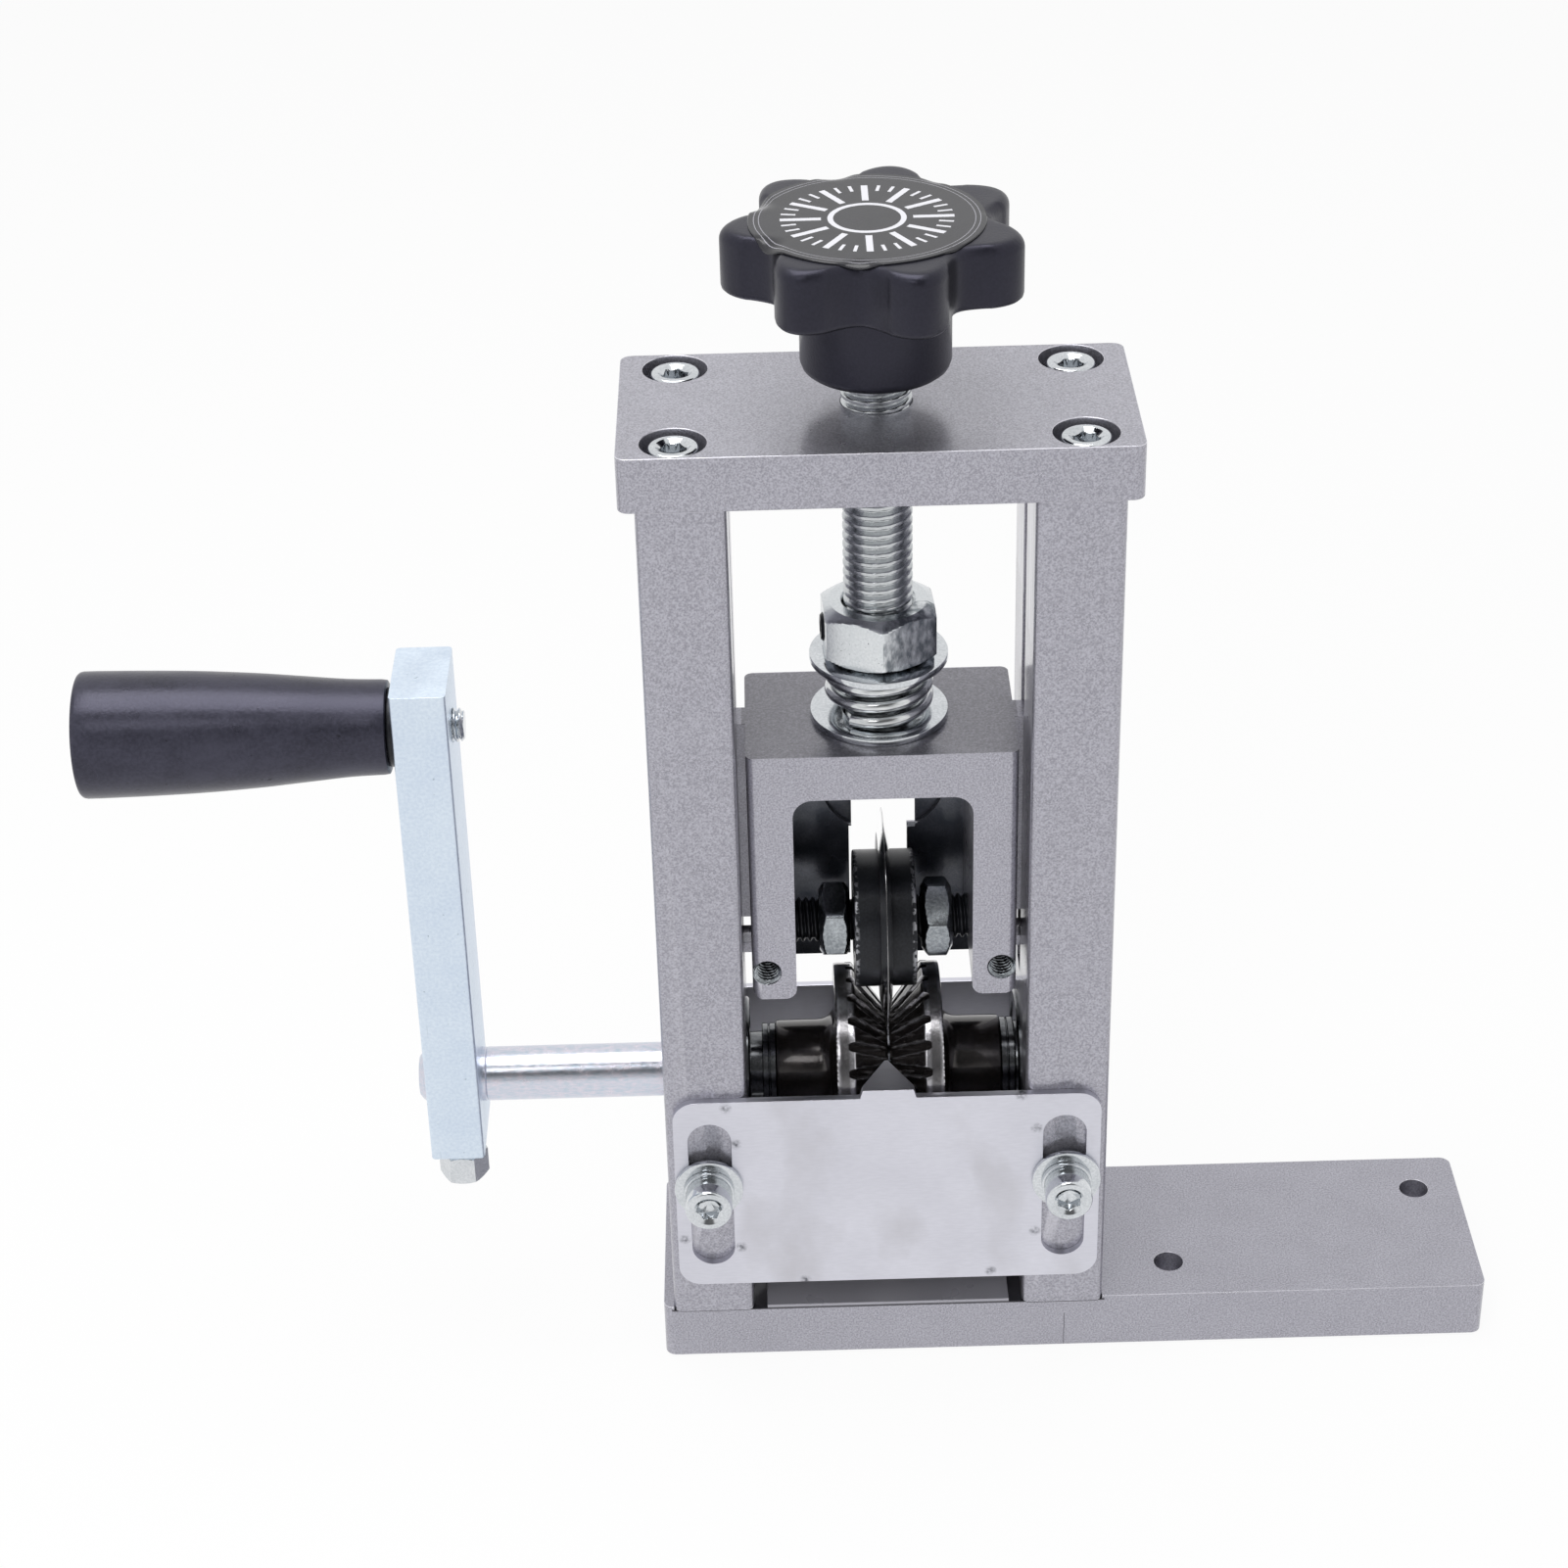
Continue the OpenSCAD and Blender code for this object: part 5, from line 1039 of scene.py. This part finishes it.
def smooth_profile(count=26):
    """Catmull-Rom curve through the stations: each stretch is a cubic whose end slopes point at the neighbours."""
    t = np.linspace(0.02, 0.94, count)
    slopes = np.gradient(stations[:, 1], stations[:, 0])
    k = np.clip(np.searchsorted(stations[:, 0], t) - 1, 0, len(stations) - 2)
    span = stations[k + 1, 0] - stations[k, 0]
    s = (t - stations[k, 0]) / span
    h00, h10 = 2 * s ** 3 - 3 * s ** 2 + 1, s ** 3 - 2 * s ** 2 + s
    h01, h11 = 3 * s ** 2 - 2 * s ** 3, s ** 3 - s ** 2
    swell = (h00 * stations[k, 1] + h10 * span * slopes[k] + h01 * stations[k + 1, 1]
             + h11 * span * slopes[k + 1])
    return list(zip(t * grip_l, SMALL_R + (LARGE_R - SMALL_R) * swell))


rows = [(0.4, 3.1), (0, 3.4), (0, SMALL_R - 0.35), (0.12, SMALL_R - 0.1)] + smooth_profile()
rows += [(grip_l - 0.9, LARGE_R), (grip_l - 0.4, LARGE_R - 0.1), (grip_l - 0.1, LARGE_R - 0.35),
         (grip_l, LARGE_R - 0.8), (grip_l, 5.5), (grip_l - 0.25, 5.25), (grip_l - 6.0, 5.25), (grip_l - 6.0, 3.1)]
to_left = ((-1, 0, 0), (0, 0, 1))
turned_ring("crank_grip_moulding", (grip_high[0], 0, grip_z), to_left, rows, "grip", "grip_plastic",
            "crank_grip", sides=112)

bolt_low, bolt_high = box_mm("grip_bolt")
GRIP_HEAD_D, GRIP_HEAD_H, GRIP_BOLT_D, GRIP_PITCH = 10.0, 5.5, 6.0, 1.0
head_x = bolt_low[0] + GRIP_HEAD_H
arm_low, arm_high = box_mm("crank_arm")
bolt = cap_screw((head_x, 0, grip_z), to_left, shank=arm_high[0] - 1.0 - head_x, head_d=GRIP_HEAD_D,
                 head_h=GRIP_HEAD_H, d=GRIP_BOLT_D)
tip_x = arm_high[0] - 1.5
tip = threaded_rod((tip_x, 0, grip_z), "x", bolt_high[0] - tip_x, GRIP_BOLT_D, GRIP_PITCH, 0.55, 0.6, sides=48,
                   rows_per_turn=12)
dress(surface("grip_cap_screw", [bolt, tip]), "crank", "bright_fastener", "grip_bolt")
low, high = box_mm("grip_washer")
rows = washer_rows(low[0], high[0], 3.05, 7.0, 0.2)
turned_ring("grip_washer_ring", (0, 0, grip_z), "x", rows, "crank", "bright_fastener", "grip_washer",
            coat="black_oxide")

# %% [markdown]
# Set screws are short headless screws with a key socket. One pins the stop nut, two hold the axle deep in the
# legs, and one in each hub drives its wheel. A hexagon head screw clamps the arm on the shaft from below.

# %% Set screws and the clamp screw
def set_screw(at, axis, length, d, key, depth, twist=0.0):
    """Rows of a headless screw from its blunt tip to the floor of its socket, with chamfered ends."""
    r = d / 2
    rows = [(0, 0), (0, r - 0.6), (0.6, r - 0.02), (length - 0.4, r - 0.02), (length, r - 0.4),
            (length, key / 2 + 0.12, 0.8), (length - 0.12, key / 2, 1), (length - depth, key / 2, 1),
            (length - depth - 0.3, 0)]
    return turned(at, axis, rows, twist, sides=48)


SET_D, SET_KEY, NUT_PIN_FROM, NUT_PIN_TO = 5.0, 2.5, 5.95, 10.0
SET_ANGLE = math.radians(183)
direction = np.array([math.cos(SET_ANGLE), math.sin(SET_ANGLE), 0.0])
nut_mid = (nut_low[2] + nut_high[2]) / 2
start = direction * NUT_PIN_FROM + np.array([0, 0, nut_mid])
pin = set_screw(start, (direction, (0, 0, 1)), NUT_PIN_TO - NUT_PIN_FROM, SET_D, SET_KEY, 1.6)
dress(surface("nut_grub_screw", [pin]), "screw", "black_oxide", "nut_set_screw")

leg_low, leg_high = box_mm("axle_set_screws")
leg_z = (leg_low[2] + leg_high[2]) / 2
leg_x = leg_high[0] - 2.48
toward = ((0, -1, 0), (0, 0, 1))
leg_l = leg_high[1] - leg_low[1]
pins = [set_screw((s * leg_x, leg_high[1], leg_z), toward, leg_l, SET_D - 0.04, SET_KEY, 2.0, 10 * s)
        for s in (-1, 1)]
dress(surface("leg_grub_screws", pins), "carriage", "black_oxide", "axle_set_screws")

hub_low, hub_high = box_mm("wheel_set_screws")
pins = [set_screw((x, 0, hub_high[2]), down, hub_high[2] - hub_low[2], SET_D, SET_KEY, 1.8)
        for x in (hub_low[0] + SET_D / 2, hub_high[0] - SET_D / 2)]
dress(surface("hub_grub_screws", pins), "crank", "black_oxide", "wheel_set_screws")

clamp_low, clamp_high = box_mm("crank_clamp_screw")
arm_x = (arm_low[0] + arm_high[0]) / 2
CLAMP_FLATS, CLAMP_HEAD = 8.0, 6.2
neck_z = clamp_low[2] + CLAMP_HEAD
head = nut_grid((arm_x, 0, 0), "z", CLAMP_FLATS, clamp_low[2], neck_z, 0, 30.0, 0.90, closed_top=True)
shank = threaded_rod((arm_x, 0, neck_z - 0.1), "z", clamp_high[2] - neck_z + 0.1, 5.0, 0.8, 0.4, 0.5, sides=36)
made = surface("clamp_hex_screw", [head, shank])
dress(made, "crank", "bright_fastener", "crank_clamp_screw", sharp=25)

# %% [markdown]
# The tapped holes in the legs face the viewer, and their threads catch the light. The CAD bores are plain, so
# each gets a thin liner: a sleeve with a threaded inside, whose outside lies just within the metal.

# %% Threaded liners in the legs
def liner(at, axis, length, bore, pitch, depth, sides=48):
    """A sleeve: the inside is the bore less the thread's depth times its wave, and the outside is a plain round."""
    rows = np.linspace(0, length, int(length / pitch * 10))
    heights = np.repeat(rows[:, None], sides, axis=1)
    inner = bore / 2 - depth * (1 - thread_wave(heights, angles(sides)[None, :], pitch, 0.2, 0.2))
    inner = np.maximum(inner, bore / 2 - heights)
    outer = np.full((2, sides), bore / 2 + 0.05)
    heights = np.vstack([heights, np.full((1, sides), length), np.zeros((1, sides))])
    return spun(at, axis, heights, np.vstack([inner, outer]))


carriage_low, carriage_high = box_mm("blade_carriage")
back = ((0, 1, 0), (1, 0, 0))
liners = [liner((s * leg_x, carriage_low[1], leg_z), back, 6.0, 5.0, 0.9, 0.6) for s in (-1, 1)]
dress(surface("leg_threads", liners, closed=True), "carriage", "bearing_steel", coat="dull_nut")

# %% [markdown]
# A plain pale floor and soft studio light finish the scene. To the camera, and in mirrors, floor and
# background are white; the floor still takes a soft shadow. A wide soft lamp hangs overhead, a large fill
# that no metal mirrors stands in front, and a small lamp puts a spark on the spring, the nuts and the screws.
# Polished metal is only as good as what it mirrors: the room is white, but high up in front of the tool it is
# dark, as a studio is behind its camera, and lower down it is a little dimmer. Those two patches of the world
# are seen in mirrors only, and they draw the bands on the shaft, the spring and the nuts.

# %% Floor and light
FLOOR_SIZE = 6.0
WHITE_SHARE = 0.92
bpy.ops.mesh.primitive_plane_add(size=FLOOR_SIZE, location=(0, 0, -0.0005))
floor = bpy.context.object
floor.name = "floor"
floor_paint = bpy.data.materials.new("pale_floor")
floor_paint.use_nodes = True
tree = floor_paint.node_tree
tree.nodes.clear()
rays = add(tree, "ShaderNodeLightPath").outputs
seen = add(tree, "ShaderNodeMath", {0: rays["Is Camera Ray"], 1: rays["Is Glossy Ray"]}, operation="MAXIMUM")
seen = add(tree, "ShaderNodeMath", {0: seen.outputs[0], 1: rays["Is Transmission Ray"]}, operation="MAXIMUM")
share = add(tree, "ShaderNodeMath", {0: seen.outputs[0], 1: WHITE_SHARE}, operation="MULTIPLY").outputs[0]
matt = add(tree, "ShaderNodeBsdfDiffuse", {"Color": linear("#f2f2f2")}).outputs[0]
glow = add(tree, "ShaderNodeEmission", {"Color": linear("#ffffff"), "Strength": 1.0}).outputs[0]
mixed = add(tree, "ShaderNodeMixShader", {0: share, 1: matt, 2: glow}).outputs[0]
add(tree, "ShaderNodeOutputMaterial", {"Surface": mixed})
floor.data.materials.append(floor_paint)

world = bpy.data.worlds.new("studio")
bpy.context.scene.world = world
world.use_nodes = True
tree = world.node_tree
tree.nodes.clear()
rays = add(tree, "ShaderNodeLightPath").outputs
toward_sky = add(tree, "ShaderNodeTexCoord").outputs["Generated"]
DARK_PATCH = ((0.0, -0.72, 0.69), 0.84, 0.95, 0.22)
DIM_PATCH = ((0.0, -0.97, 0.24), 0.76, 0.95, 0.66)
shades = []
for centre, edge, core, level in (DARK_PATCH, DIM_PATCH):
    near = add(tree, "ShaderNodeVectorMath", {0: toward_sky, 1: centre}, operation="DOT_PRODUCT").outputs["Value"]
    dim = {"Value": near, "From Min": edge, "From Max": core, "To Min": 0.98, "To Max": level}
    shades.append(add(tree, "ShaderNodeMapRange", dim, interpolation_type="SMOOTHSTEP").outputs["Result"])
mirrored = product(tree, *shades)
AMBIENT = 0.40
level = {0: rays["Is Glossy Ray"], 2: AMBIENT, 3: mirrored}
level = add(tree, "ShaderNodeMix", level, data_type="FLOAT").outputs[0]
level = add(tree, "ShaderNodeMix", {0: rays["Is Camera Ray"], 2: level, 3: 1.0}, data_type="FLOAT").outputs[0]
sky = add(tree, "ShaderNodeBackground", {"Color": (1, 1, 1, 1), "Strength": level}).outputs[0]
add(tree, "ShaderNodeOutputWorld", {"Surface": sky})


def lamp(name, size, watts, place, aim, mirrored=True):
    """A square soft lamp at a place in metres, turned so that it shines at a point."""
    light = bpy.data.lights.new(name, "AREA")
    light.size = size
    light.energy = watts
    made = bpy.data.objects.new(name, light)
    bpy.context.scene.collection.objects.link(made)
    sight = (Vector(aim) - Vector(place)).to_track_quat("-Z", "Y")
    made.matrix_world = Matrix.Translation(place) @ sight.to_matrix().to_4x4()
    made.visible_glossy = mirrored
    return made


lamp("overhead", 0.55, 4.0, (-0.12, 0.02, 0.88), (0, 0, 0.1))
lamp("front_fill", 0.9, 8.0, (-0.45, -1.1, 0.55), (0, 0, 0.1), mirrored=False)
lamp("spark", 0.22, 0.5, (-0.22, -0.55, 0.72), (0, 0, 0.1))
print("lit by three lamps and a white room")
